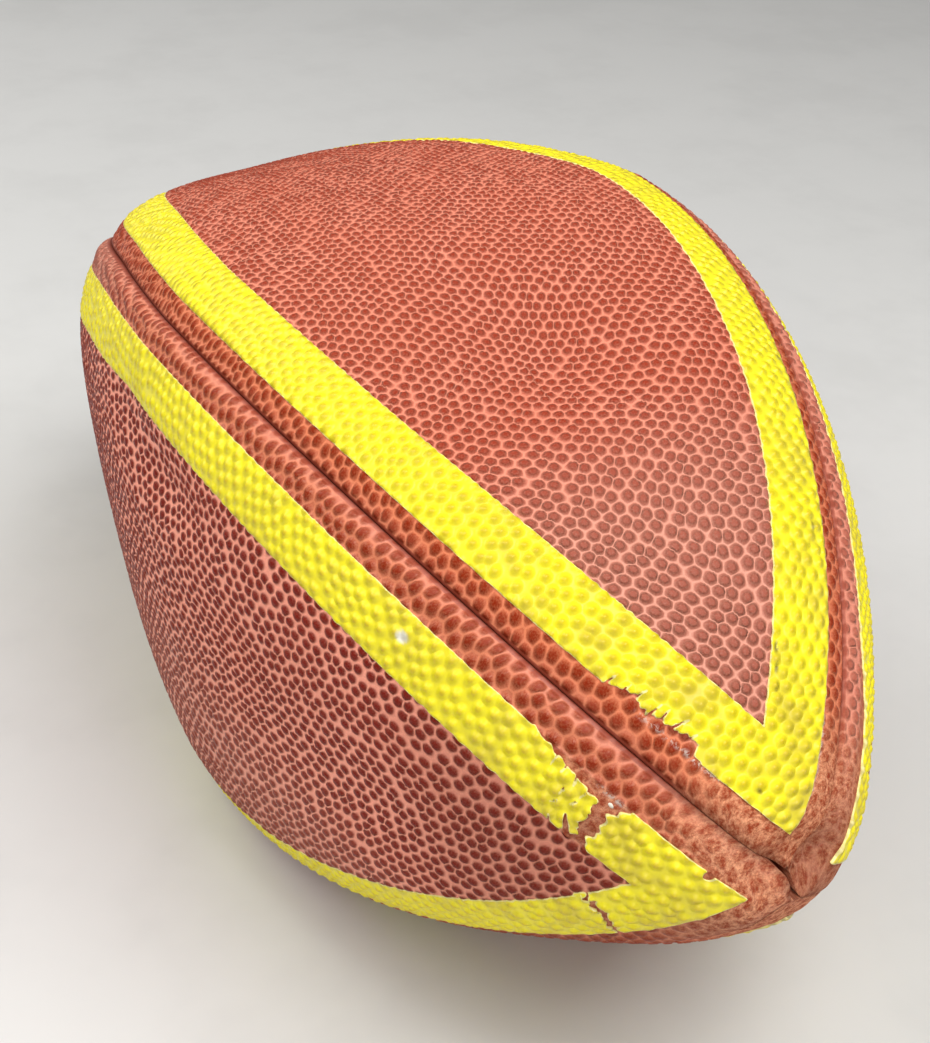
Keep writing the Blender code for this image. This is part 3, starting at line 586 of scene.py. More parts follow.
@dataclass(frozen=True)
class Slack:
    """How the panels stand against each other: rolled lips, and a worn tip whose points have parted."""

    drifts: dict = field(default_factory=lambda: {
        Side.TOP: Drift((-2.0, 0.0, 0.3), 133.0, 139.6, (-2.4, 0.1, 0.1)),
        Side.RIGHT: Drift((-0.6, 1.7, -0.2), 112.0, 136.0, (-2.4, -2.8, 0.6)),
        Side.LEFT: Drift((0.9, 0.1, 0.3), 118.0, 139.6),
        Side.BOTTOM: Drift((1.3, 0.1, -1.3), 96.0, 130.0, (-1.6, -1.6, -0.4), (134.0, 139.6))})
    held: dict = field(default_factory=lambda: {
        (Side.RIGHT, Seam.TOP_RIGHT): Side.TOP, (Side.RIGHT, Seam.BOTTOM_RIGHT): Side.BOTTOM,
        (Side.LEFT, Seam.BOTTOM_LEFT): Side.BOTTOM, (Side.LEFT, Seam.TOP_LEFT): Side.TOP})
    parted: Stretch = (136.0, 140.0)   # over which the top left seam lets go
    far_end: Drift = Drift((0.0, -1.1, -0.1), 38.0, 75.0)
    far_height: float = 60.0           # the far end leans more the higher it is, up to here
    hold: Stretch = (1.0, 7.0)         # nearer a panel follows its neighbour, further not
    tip_lips: Stretch = (118.0, 131.0)
    lip_fade: float = 5.0              # lips flatten out where the ball is this many times narrower
    lips: dict = field(default_factory=lambda: {
        (Side.LEFT, Seam.TOP_LEFT): Lip(0.9, 2.4, 1.8), (Side.TOP, Seam.TOP_LEFT): Lip(-0.1, tip_rise=1.3),
        (Side.RIGHT, Seam.TOP_RIGHT): Lip(0.5), (Side.TOP, Seam.TOP_RIGHT): Lip(0.2)})

    def rolled(self, sheet: PanelSheet) -> Array:
        """How much deeper the lips leave each point than a plain groove would.

        Args:
            sheet: The panel.

        Returns:
            Depth of each point, negative where it stands proud.
        """
        total = np.zeros_like(sheet.near)
        for from_end, seam in enumerate(sheet.side.value):
            lip = self.lips.get((sheet.side, seam))
            if lip:
                away = (sheet.distance(bool(from_end)) - lip.crest) / lip.width
                rise = lip.rise + lip.tip_rise * smooth(sheet.x, *self.tip_lips)[:, None]
                total -= rise * np.exp(-away * away)
        return total * np.clip(self.lip_fade * sheet.form.profile(sheet.s), 0.0, 1.0)[:, None]

    def moved(self, side: Side, x: Array) -> Array:
        """How far a side has moved at each row.

        Args:
            side: The side.
            x: The rows' places along X.

        Returns:
            Move of each row.
        """
        drift = self.drifts[side]
        share, last = smooth(x, drift.start, drift.end), smooth(x, *drift.last)
        return share[:, None, None] * np.array(drift.move) + last[:, None, None] * np.array(drift.tip)

    def drifted(self, sheet: PanelSheet, points: Array, near: Array, far: Array) -> Array:
        """Points of a panel with its worn tip moved, held to its neighbours where the seams still hold.

        Args:
            sheet: The panel.
            points: Its points by row and column.
            near: Distance of each point from the seam that the panel starts at.
            far: Distance of each point from the seam that it ends at.

        Returns:
            The moved points.
        """
        move = self.moved(sheet.side, sheet.x)
        for seam, distance in zip(sheet.side.value, (near, far)):
            leader = self.held.get((sheet.side, seam))
            if leader:
                free = smooth(distance, *self.hold)[..., None]
                if seam is Seam.TOP_LEFT:
                    free = np.maximum(free, smooth(sheet.x, *self.parted)[:, None, None])
                move = move * free + self.moved(leader, sheet.x) * (1.0 - free)
        far_end = smooth(-sheet.x, self.far_end.start, self.far_end.end)[:, None, None]
        raised = np.clip(points[..., 2:] / self.far_height, 0.0, 1.0)
        return points + move + far_end * raised * np.array(self.far_end.move)


# --- meshes from grids ------------------------------------------------------------------------------
def grid_bmesh(rows: int, columns: int, wrap: bool = False, caps: bool = False) -> BMesh:
    """A plain grid whose vertices remember their row and column.

    Args:
        rows: Rows of vertices.
        columns: Columns of vertices.
        wrap: Whether the last column is welded to the first, so that the grid is a tube.
        caps: Whether the tube's ends are closed.

    Returns:
        The grid, still flat.
    """
    bm = bmesh.new()
    bmesh.ops.create_grid(bm, x_segments=columns - 1 + wrap, y_segments=rows - 1, size=1.0)
    row_of, column_of = (bm.verts.layers.int.new(name) for name in ("row", "column"))
    first, last = {}, []
    for vert in bm.verts:
        vert[row_of] = round((vert.co.y + 1.0) / 2.0 * (rows - 1))
        vert[column_of] = round((vert.co.x + 1.0) / 2.0 * (columns - 1 + wrap))
        if vert[column_of] == 0:
            first[vert[row_of]] = vert
        elif vert[column_of] == columns:
            last.append(vert)
    if wrap:
        bmesh.ops.weld_verts(bm, targetmap={vert: first[vert[row_of]] for vert in last})
    if caps:
        bmesh.ops.holes_fill(bm, edges=[e for e in bm.edges if e.is_boundary], sides=0)
    return bm


def new_mesh(bm: BMesh, name: str) -> Mesh:
    """Turn a bmesh, which is used up, into a new smooth mesh.

    Args:
        bm: The shape.
        name: Name of the mesh.

    Returns:
        The mesh.
    """
    mesh = bpy.data.meshes.new(name)
    bm.to_mesh(mesh)
    bm.free()
    mesh.shade_smooth()
    return mesh


def mesh_from(bm: BMesh, name: str, points: Array, values: dict[str, Array],
              off: tuple[Array, Array] | None = None) -> Mesh:
    """Move a grid's vertices to their places and give them their values.

    Args:
        bm: A grid from grid_bmesh, which is used up.
        name: Name of the mesh.
        points: Places in millimetres, by row and column.
        values: Named values for the vertices, single or in threes, by row and column.
        off: Fractions of a row and a column by which vertices lie off their own, by row and column.

    Returns:
        The mesh in metres.
    """
    mesh = new_mesh(bm, name)
    index = []
    for layer in ("row", "column"):
        numbers = np.zeros(len(mesh.vertices), dtype=np.int32)
        mesh.attributes[layer].data.foreach_get("value", numbers)
        index.append(numbers)
        mesh.attributes.remove(mesh.attributes[layer])
    row, column = index

    def read(grid: Array) -> Array:
        """Values of a grid at the vertices, between rows and columns where they lie off their own.

        Args:
            grid: Values by row and column.

        Returns:
            Values by vertex.
        """
        if off is None:
            return grid[row, column]
        r = np.clip(row + off[0][row, column], 0.0, grid.shape[0] - 1.001)
        c = np.clip(column + off[1][row, column], 0.0, grid.shape[1] - 1.001)
        r0, c0 = r.astype(int), c.astype(int)
        fr, fc = r - r0, c - c0
        if grid.ndim == 3:
            fr, fc = fr[:, None], fc[:, None]
        return ((grid[r0, c0] * (1 - fc) + grid[r0, c0 + 1] * fc) * (1 - fr)
                + (grid[r0 + 1, c0] * (1 - fc) + grid[r0 + 1, c0 + 1] * fc) * fr)

    mesh.vertices.foreach_set("co", (read(points) * MM).astype(np.float32).ravel())
    for key, grid in values.items():
        triple = grid.ndim == 3
        layer = mesh.attributes.new(key, "FLOAT_VECTOR" if triple else "FLOAT", "POINT")
        layer.data.foreach_set("vector" if triple else "value", read(grid).astype(np.float32).ravel())
    mesh.update()
    return mesh


def face_outwards(mesh: Mesh) -> None:
    """Turn a closed mesh's faces round if they point inwards.

    Args:
        mesh: The mesh.
    """
    bm = bmesh.new()
    bm.from_mesh(mesh)
    if bm.calc_volume(signed=True) < 0.0:
        bmesh.ops.reverse_faces(bm, faces=bm.faces[:])
        bm.to_mesh(mesh)
    bm.free()


def applied(obj: Object) -> None:
    """Replace an object's mesh with its evaluated one and drop its modifiers.

    Args:
        obj: The object.
    """
    bpy.context.view_layer.update()
    evaluated = obj.evaluated_get(bpy.context.evaluated_depsgraph_get())
    mesh = bpy.data.meshes.new_from_object(evaluated)
    obj.modifiers.clear()
    old, obj.data = obj.data, mesh
    mesh.name = old.name
    bpy.data.meshes.remove(old)


def new_piece(name: str, mesh: Mesh) -> Object:
    """Put a mesh in the scene as a piece, and return the piece.

    Args:
        name: Name of the piece.
        mesh: Its mesh.

    Returns:
        The piece.
    """
    obj = bpy.data.objects.new(name, mesh)
    bpy.context.scene.collection.objects.link(obj)
    return obj


def dress(obj: Object, finish: Material) -> None:
    """Give an object its only material."""
    obj.data.materials.clear()
    obj.data.materials.append(finish)


def hand_over(piece: Object, finish: Material, node: str) -> None:
    """Dress a finished piece and hand it to the frame.

    Args:
        piece: The piece.
        finish: Its material.
        node: The solid that it stands in for.
    """
    dress(piece, finish)
    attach(piece, BODY)
    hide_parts(node)
    log.info("%s: %d faces", piece.name, len(piece.data.polygons))


# --- pebbled grain ----------------------------------------------------------------------------------
@dataclass(frozen=True)
class PebbleGrain:
    """The embossed pebbles: two interleaved lattices of jittered points, one pebble at each point.

    The same nodes press the mesh and paint the skin, so the two always agree.
    """

    pitch: float = 2.35        # pebble to pebble, as embossed on such balls
    stretch: float = math.sqrt(3.0)  # two lattices this tall make one of even triangles
    jitter: float = 0.26
    rim: Stretch = (0.0, 0.10)      # of a pitch: where the dome starts and is full
    reach: Stretch = (0.56, 0.20)   # pebbles are round: they fall off over this distance
    veil: Stretch = (0.55, 0.0)     # under a film they are softer

    def cells(self, add: Add, grain: Socket) -> tuple[Socket, Socket]:
        """Where a point lies among the pebbles.

        Args:
            add: Adds a node to a shader tree or a geometry tree.
            grain: Pattern coordinates in millimetres.

        Returns:
            Its distances from the nearest pebble's middle, and from the line between that and the next.
        """
        scale = (1.0 / self.pitch, 1.0 / self.pitch / self.stretch, 0.0)
        least, most = [], []
        for offset in ((0.0, 0.0, 0.0), (0.5, 0.5, 0.0)):
            scaled = add(Node.VECTOR_TIMES_PLUS, grain, scale, offset)
            reaches = []
            for kind in (Node.NEAREST_POINT, Node.SECOND_POINT):
                away = add(Node.VECTOR_MINUS, scaled, add(kind, scaled, 1.0, self.jitter))
                away = add(Node.VECTOR_TIMES, away, (1.0, self.stretch, 0.0))
                reaches.append(add(Node.VECTOR_LENGTH, away))
            least.append(add(Node.LEAST, *reaches))
            most.append(add(Node.MOST, *reaches))
        first = add(Node.LEAST, *least)
        second = add(Node.LEAST, add(Node.MOST, *least), add(Node.LEAST, *most))
        squares = [add(Node.TIMES, reach, reach) for reach in (second, first)]
        return first, add(Node.TIMES, add(Node.MINUS, *squares), 0.5)

    def height(self, add: Add, first: Socket, border: Socket, veiled: bool = False) -> Socket:
        """Height of the pebbles, from 0 between them to 1 on their tops.

        Args:
            add: Adds a node to a shader tree or a geometry tree.
            first: Distance from the nearest pebble's middle.
            border: Distance from the line between it and the next.
            veiled: Whether a film softens them.

        Returns:
            Socket with the height.
        """
        dome = add(Node.EASE, first, *(self.veil if veiled else self.reach))
        return dome if veiled else add(Node.TIMES, add(Node.EASE, border, *self.rim), dome)

    def press(self, obj: Object, veiled: bool = False) -> None:
        """Raise the pebbles on a piece along its normals, for good.

        Args:
            obj: The piece, whose mesh has 'grain' and 'relief' values.
            veiled: Whether a film softens them.
        """
        tree = bpy.data.node_groups.new("press", "GeometryNodeTree")
        for way in ("INPUT", "OUTPUT"):
            tree.interface.new_socket("Geometry", in_out=way, socket_type="NodeSocketGeometry")
        add = partial(add_node, tree)
        height = self.height(add, *self.cells(add, add(Node.MESH_TRIPLE, "grain")), veiled)
        lift = add(Node.TIMES, add(Node.TIMES, height, add(Node.MESH_NUMBER, "relief")), MM)
        offset = add(Node.VECTOR_SCALED, add(Node.MESH_NORMAL), lift)
        add(Node.GROUP_OUT, add(Node.SHIFT_POINTS, add(Node.GROUP_IN), offset))
        obj.modifiers.new("press", "NODES").node_group = tree
        applied(obj)
        bpy.data.node_groups.remove(tree)


GRAIN = PebbleGrain()


# --- finishes ---------------------------------------------------------------------------------------
def new_finish(name: str) -> tuple[Material, Add, bpy.types.Node]:
    """Start a material.

    Args:
        name: What the real material is.

    Returns:
        The material, a function that adds a node to it, and its shader.
    """
    material = bpy.data.materials.new(name)
    material.use_nodes = True
    return material, partial(add_node, material.node_tree), material.node_tree.nodes["Principled BSDF"]


@dataclass(frozen=True)
class Tones:
    """A colour of the skin: where it is plain, where light (a lighter tone that paints sheen), where dusty
    and in the strips at the seams.
    """

    plain: str
    light: str
    dusty: str
    strip: str

    def mixed(self, add: Add, shares: tuple[Socket, Socket, Socket]) -> Socket:
        """The colour with the shares of light, dust and strip that the skin has.

        Args:
            add: Adds a node to the material.
            shares: Shares of light, dust and strip.

        Returns:
            Socket with the colour.
        """
        colour = hex_colour(self.plain)
        for share, code in zip(shares, (self.light, self.dusty, self.strip)):
            colour = add(Node.MIX, share, colour, hex_colour(code))
        return colour


@dataclass(frozen=True)
class PebbledSkin:
    """Composition leather, embossed with pebbles, its colour rubbed off between them."""

    domes: Tones = Tones("#741205", "#92301b", "#9f5847", "#84260c")
    between: Tones = Tones("#ffa58a", "#e2866b", "#d9967f", "#d87c56")
    # crest: pale worn crests of the lips, which also carry a painted highlight
    crest: str = "#dd8a72"
    suede: str = "#f2a97e"
    blood: str = "#9c3c20"
    bare: str = "#97432f"
    # crease: colour of the painted shade in the seams and on the worn corners
    crease: str = "#451a11"
    glue: str = "#d9c9bd"
    dome_rough: float = 0.33
    between_rough: float = 0.52
    broad_size: float = 14.0   # patches of colour across the panels
    patch_size: float = 3.1    # wear from pebble to pebble
    grain_size: float = 0.28   # pores, drawn as coarse as they need to show
    stain_size: float = 0.65   # dye left in the rubbed tip
    suede_size: float = 1.1    # nap of the rubbed tip
    glue_size: float = 0.7     # crumbs of glue
    bump: float = 0.56         # depths of the pebbles, the pores and the nap
    pore_depth: float = 0.05
    nap_depth: float = 0.6

    def read(self, add: Add) -> SimpleNamespace:
        """Read the skin's 'grain', 'relief', 'wear', 'tint' and 'strip' values and lay out its patterns.

        Args:
            add: Adds a node to the material.

        Returns:
            The sockets of all these, by name.
        """
        on = SimpleNamespace()
        on.grain, wear, tint = (add(Node.TRIPLE, attribute_name=name) for name in ("grain", "wear", "tint"))
        on.relief, on.strip = (add(Node.NUMBER, attribute_name=name) for name in ("relief", "strip"))
        on.lip, on.tip, on.glue = add(Node.PARTS, wear)
        # tint: share of the light tone (painted sheen), painted shade, and dusty tone
        on.light, on.crease, on.dusty = add(Node.PARTS, tint)
        on.first, on.border = GRAIN.cells(add, on.grain)
        on.height = GRAIN.height(add, on.first, on.border)
        on.heart = add(Node.EASE, on.first, 0.60, 0.05)
        sizes = ((self.broad_size, 0.5), (self.patch_size, 0.6), (self.grain_size, 0.65))
        on.broad, on.patch, on.fine = (add(Node.NOISE, on.grain, 1.0 / size, 3.0, rough)
                                       for size, rough in sizes)
        return on

    def mask(self, add: Add, on: SimpleNamespace) -> tuple[Socket, Socket]:
        """How far the colour of the domes reaches.

        Args:
            add: Adds a node to the material.
            on: What the material reads.

        Returns:
            The pebbles' edge before it is cut, and the share of the domes' colour.
        """
        edge = add(Node.TIMES_PLUS, on.light, 0.10, -0.24)
        grainy = add(Node.TIMES_PLUS, on.fine, 0.34, -0.17)
        for part, share in ((on.height, 1.0), (on.patch, 0.30), (grainy, 1.0)):
            edge = add(Node.TIMES_PLUS, part, share, edge)
        # light and stripside pebbles have a thin net and a dark heart in a paler dome
        soft = add(Node.TIMES_PLUS, on.heart, 0.62, add(Node.EASE, on.border, 0.0, 0.14, -0.12, 0.36))
        soft = add(Node.PLUS, soft, add(Node.EASE, on.fine, 0.3, 0.7, -0.25, 0.25), use_clamp=True)
        soften = add(Node.EASE, add(Node.MOST, on.strip, on.light), 0.0, 0.8, 0.3, 1.0)
        return edge, add(Node.MIX_NUMBERS, soften, add(Node.EASE, edge, -0.08, 0.70), soft)

    def colour(self, add: Add, on: SimpleNamespace, edge: Socket, mask: Socket) -> Socket:
        """Colour of the skin.

        Args:
            add: Adds a node to the material.
            on: What the material reads.
            edge: The pebbles' edge.
            mask: Share of the domes' colour.

        Returns:
            Socket with the colour.
        """
        shift = add(Node.PLUS, add(Node.EASE, on.broad, 0.35, 0.65, -0.15, 0.15), on.light, use_clamp=True)
        dome, net = (tones.mixed(add, (shift, on.dusty, on.strip)) for tones in (self.domes, self.between))
        # painted shade: a dark ring at the foot of each dome, drawn where the skin is dusty
        foot_shade = add(Node.TIMES, add(Node.EASE, on.height, 0.0, 0.16), add(Node.EASE, on.height, 0.6, 0.22))
        blots = add(Node.NOISE, on.grain, 1.0 / self.stain_size, 5.0, 0.8)
        stain = add(Node.TIMES_PLUS, on.height, 0.10, blots)
        mottled = add(Node.MIX, add(Node.EASE, stain, 0.36, 0.72), hex_colour(self.suede),
                      hex_colour(self.blood))
        rubbed = add(Node.TIMES, on.tip, add(Node.EASE, on.patch, 0.2, 0.55, 0.6, 1.0))
        # the crests' pale wear and painted highlight, kept in part over the rubbed tip
        crest = add(Node.TIMES, on.lip, add(Node.EASE, on.tip, 0.0, 1.0, 1.0, 0.45))
        crumbs = add(Node.EASE, add(Node.NOISE, on.grain, 1.0 / self.glue_size, 4.0, 0.7), 0.47, 0.56)
        colour = add(Node.MIX, mask, net, dome)
        for share, over in (
                (add(Node.EASE, on.relief, 0.14, 0.05), hex_colour(self.bare)),
                (add(Node.TIMES, foot_shade, add(Node.EASE, on.dusty, 0.1, 0.9, 0.0, 0.20)),
                 hex_colour(self.domes.plain)),
                (rubbed, mottled),
                (add(Node.TIMES, crest, add(Node.EASE, edge, 0.1, 0.7, 1.0, 0.35)), hex_colour(self.crest)),
                (add(Node.TIMES, on.glue, crumbs), hex_colour(self.glue)),
                # painted shade in the seams, from the 'tint' value's second share
                (on.crease, hex_colour(self.crease))):
            colour = add(Node.MIX, share, colour, over)
        return add(Node.DARKEN, 1.0, colour, add(Node.EASE, on.fine, 0.3, 0.7, 0.86, 1.10))

    def make(self) -> Material:
        """Build the material.

        Returns:
            The material.
        """
        # moulded polyurethane-faced composition leather: satin domes, a paler and duller net between them
        material, add, shader = new_finish("pebbled_composition_leather")
        on = self.read(add)
        edge, mask = self.mask(add, on)
        rough = add(Node.EASE, on.height, 0.1, 0.8, self.between_rough, self.dome_rough)
        rough = add(Node.TIMES_PLUS, add(Node.MOST, on.tip, on.crease), 0.3, rough, use_clamp=True)
        rough = add(Node.TIMES_PLUS, add(Node.EASE, on.broad, 0.3, 0.7), 0.1, rough, use_clamp=True)
        gloss = add(Node.TIMES_PLUS, on.dusty, 0.2, add(Node.EASE, on.light, 0.0, 0.6, 0.5, 0.16))
        gloss = add(Node.TIMES, gloss, add(Node.EASE, mask, 0.0, 1.0, 1.0, 0.2))
        level = add(Node.TIMES, add(Node.TIMES, on.height, add(Node.EASE, on.relief, 0.0, 0.34)),
                    add(Node.TIMES, add(Node.EASE, on.heart, 0.0, 1.0, 0.4, 1.0),
                        add(Node.EASE, on.strip, 0.0, 1.0, 1.0, 0.6)))
        nap = add(Node.TIMES, on.tip, add(Node.NOISE, on.grain, 1.0 / self.suede_size, 5.0, 0.75))
        normal = add(Node.BUMP, level, self.bump * MM)
        normal = add(Node.BUMP, on.fine, self.pore_depth * MM, normal)
        normal = add(Node.BUMP, nap, self.nap_depth * MM, normal)
        set_inputs(shader, {"Base Color": self.colour(add, on, edge, mask), "Roughness": rough, "IOR": 1.5,
                            "Specular IOR Level": gloss, "Normal": normal})
        return material


@dataclass(frozen=True)
class StripeCoat:
    """Yellow polyurethane transfer film, embossed together with the skin."""

    bright: str = "#f1e322"
    dome: str = "#d2b60e"
    # edge: the pale cut edge, which also paints the rim's highlight
    edge: str = "#efe7b4"
    scuff: str = "#847824"
    chip: str = "#e9e4d4"
    grime: str = "#c9b43a"
    rough: float = 0.36
    gloss: float = 0.36
    patch_size: float = 2.6    # sizes of the worn patches, the grime, the ragged edge, the scuffs, the skin
    grime_size: float = 7.0
    edge_size: float = 0.7
    scuff_size: float = 0.9
    skin_size: float = 0.35
    bump: float = 0.50         # depths of the pebbles and of the film's own skin
    skin_depth: float = 0.012

    def make(self) -> Material:
        """Build the material, which reads the film's 'grain', 'edge' and 'marks' values.

        Returns:
            The material.
        """
        # heat-transferred polyurethane film: glossy, deeper coloured on its domes, pale where it is cut, with
        # a painted highlight along its rim
        material, add, shader = new_finish("yellow_transfer_film")
        grain, marks = (add(Node.TRIPLE, attribute_name=name) for name in ("grain", "marks"))
        inside = add(Node.NUMBER, attribute_name="edge")
        scuff, chip, grime = add(Node.PARTS, marks)
        height = GRAIN.height(add, *GRAIN.cells(add, grain), veiled=True)
        patch = add(Node.NOISE, grain, 1.0 / self.patch_size, 3.0, 0.6)
        dirt = add(Node.NOISE, grain, 1.0 / self.grime_size, 4.0, 0.6)
        smear = add(Node.NOISE, grain, 1.0 / self.scuff_size, 4.0, 0.7)
        ragged = add(Node.TIMES_PLUS, add(Node.NOISE, grain, 1.0 / self.edge_size), -0.5, inside)
        tops = add(Node.TIMES, add(Node.EASE, height, 0.45, 1.0), add(Node.EASE, patch, 0.3, 0.7, 0.5, 1.0))
        colour = hex_colour(self.bright)
        for share, over in (
                (tops, self.dome),
                (add(Node.TIMES, grime, add(Node.EASE, dirt, 0.4, 0.7)), self.grime),
                # pale cut edge and painted rim highlight along the outline
                (add(Node.EASE, ragged, -0.10, -0.22, 0.0, 0.6), self.edge),
                (add(Node.TIMES, scuff, add(Node.EASE, smear, 0.34, 0.52)), self.scuff),
                (chip, self.chip)):
            colour = add(Node.MIX, share, colour, hex_colour(over))
        rough = add(Node.TIMES_PLUS, patch, 0.12, self.rough - 0.04, use_clamp=True)
        normal = add(Node.BUMP, height, self.bump * MM)
        normal = add(Node.BUMP, add(Node.NOISE, grain, 1.0 / self.skin_size), self.skin_depth * MM, normal)
        set_inputs(shader, {"Base Color": colour, "Roughness": rough, "Specular IOR Level": self.gloss,
                            "Normal": normal})
        return material


@dataclass(frozen=True)
class PlainStuff:
    """Rubber, cloth, thread or board: one colour with soiling, and a fine surface of its own."""

    name: str
    colour: str
    soiled: str
    rough: float
    patch: float = 6.0     # size of the soiled patches
    grit: float = 0.3      # size of the fine surface
    depth: float = 0.02    # and how deep it is

    def make(self) -> Material:
        """Build the material on Object coordinates.

        Returns:
            The material.
        """
        material, add, shader = new_finish(self.name)
        place = add(Node.OBJECT_PLACE)
        dirt = add(Node.EASE, add(Node.NOISE, place, 1.0 / (self.patch * MM), 4.0, 0.6), 0.4, 0.7)
        grit = add(Node.NOISE, place, 1.0 / (self.grit * MM), 3.0, 0.6)
        set_inputs(shader, {
            "Base Color": add(Node.MIX, dirt, hex_colour(self.colour), hex_colour(self.soiled)),
            "Roughness": add(Node.EASE, dirt, 0.0, 1.0, self.rough, min(self.rough + 0.12, 1.0)),
            "Normal": add(Node.BUMP, grit, self.depth * MM)})
        return material


@dataclass(frozen=True)
class BraidedLace:
    """Flat braided nylon lace with a vinyl dip, soiled in its valleys."""

    colour: str = "#e4ded0"
    soiled: str = "#9c8f7c"
    rough: float = 0.66
    plait: float = 1.1        # from strand to strand
    dirt_size: float = 5.0
    fibre_size: float = 0.16
    bump: float = 0.12        # depths of the strands and the fibres
    fibre_depth: float = 0.02

    def make(self) -> Material:
        """Build the material, which reads the lace's 'lay' values: along and across it in millimetres.

        Returns:
            The material.
        """
        # braided nylon: strands cross in a herringbone, matt, and grey where dirt sits between them
        material, add, shader = new_finish("braided_nylon_lace")
        lay = add(Node.TRIPLE, attribute_name="lay")
        along, across, _ = add(Node.PARTS, lay)
        slant = add(Node.PLUS, along, add(Node.ABSOLUTE, across))
        wave = add(Node.SINE, add(Node.TIMES, slant, 2.0 * math.pi / self.plait))
        strand = add(Node.EASE, wave, -0.9, 0.7)
        dirt = add(Node.EASE, add(Node.NOISE, lay, 1.0 / self.dirt_size, 4.0, 0.6), 0.3, 0.7)
        soiled = add(Node.TIMES, add(Node.EASE, strand, 1.0, 0.0, 0.15, 0.9), dirt)
        normal = add(Node.BUMP, strand, self.bump * MM)
        normal = add(Node.BUMP, add(Node.NOISE, lay, 1.0 / self.fibre_size), self.fibre_depth * MM, normal)
        set_inputs(shader, {"Base Color": add(Node.MIX, soiled, hex_colour(self.colour),
                                              hex_colour(self.soiled)),
                            "Roughness": self.rough, "Normal": normal})
        return material


# --- stripes ----------------------------------------------------------------------------------------
@dataclass(frozen=True)
class Slit:
    """A split in a film, from one place to another, given by X and the distance from its seam."""

    x: float
    start: float
    to_x: float
    end: float
    width: float = 0.5


@dataclass(frozen=True)
class Spot:
    """A round or oval place on a film, given by X and the distance from its seam."""

    x: float
    distance: float
    long: float
    wide: float
    from_end: bool = False


@dataclass(frozen=True)
class StripeRing:
    """Where the four stripes lie on their panels."""

    width: float = 11.0
    insets: dict = field(default_factory=lambda: {Side.TOP: 5.0, Side.LEFT: 6.2, Side.RIGHT: 4.4,
                                                  Side.BOTTOM: 6.0})
    lace_swing: float = 8.0
    swing_full: float = 58.0
    swing_end: float = 104.0

    def inset(self, sheet: PanelSheet, from_end: bool) -> Array:
        """Distance from a seam to the stripe beside it, at each row.

        Args:
            sheet: The panel.
            from_end: Whether the seam is the one that the panel ends at.

        Returns:
            Distance at each row.
        """
        inset = np.full_like(sheet.x, self.insets[sheet.side])
        if sheet.side.value[from_end] is Seam.BOTTOM_RIGHT:
            inset = inset + self.lace_swing * smooth(-np.abs(sheet.x), -self.swing_end, -self.swing_full)
        return inset

    def reach_in(self, sheet: PanelSheet) -> Array:
        """How far each point lies inside the stripe's outer edge."""
        return np.minimum(sheet.near - self.inset(sheet, False)[:, None],
                          sheet.far - self.inset(sheet, True)[:, None])

    def inside(self, sheet: PanelSheet) -> Array:
        """How far each point lies inside the whole stripe, negative outside it."""
        reach = self.reach_in(sheet)
        return np.minimum(reach, self.width - reach)


RING = StripeRing()


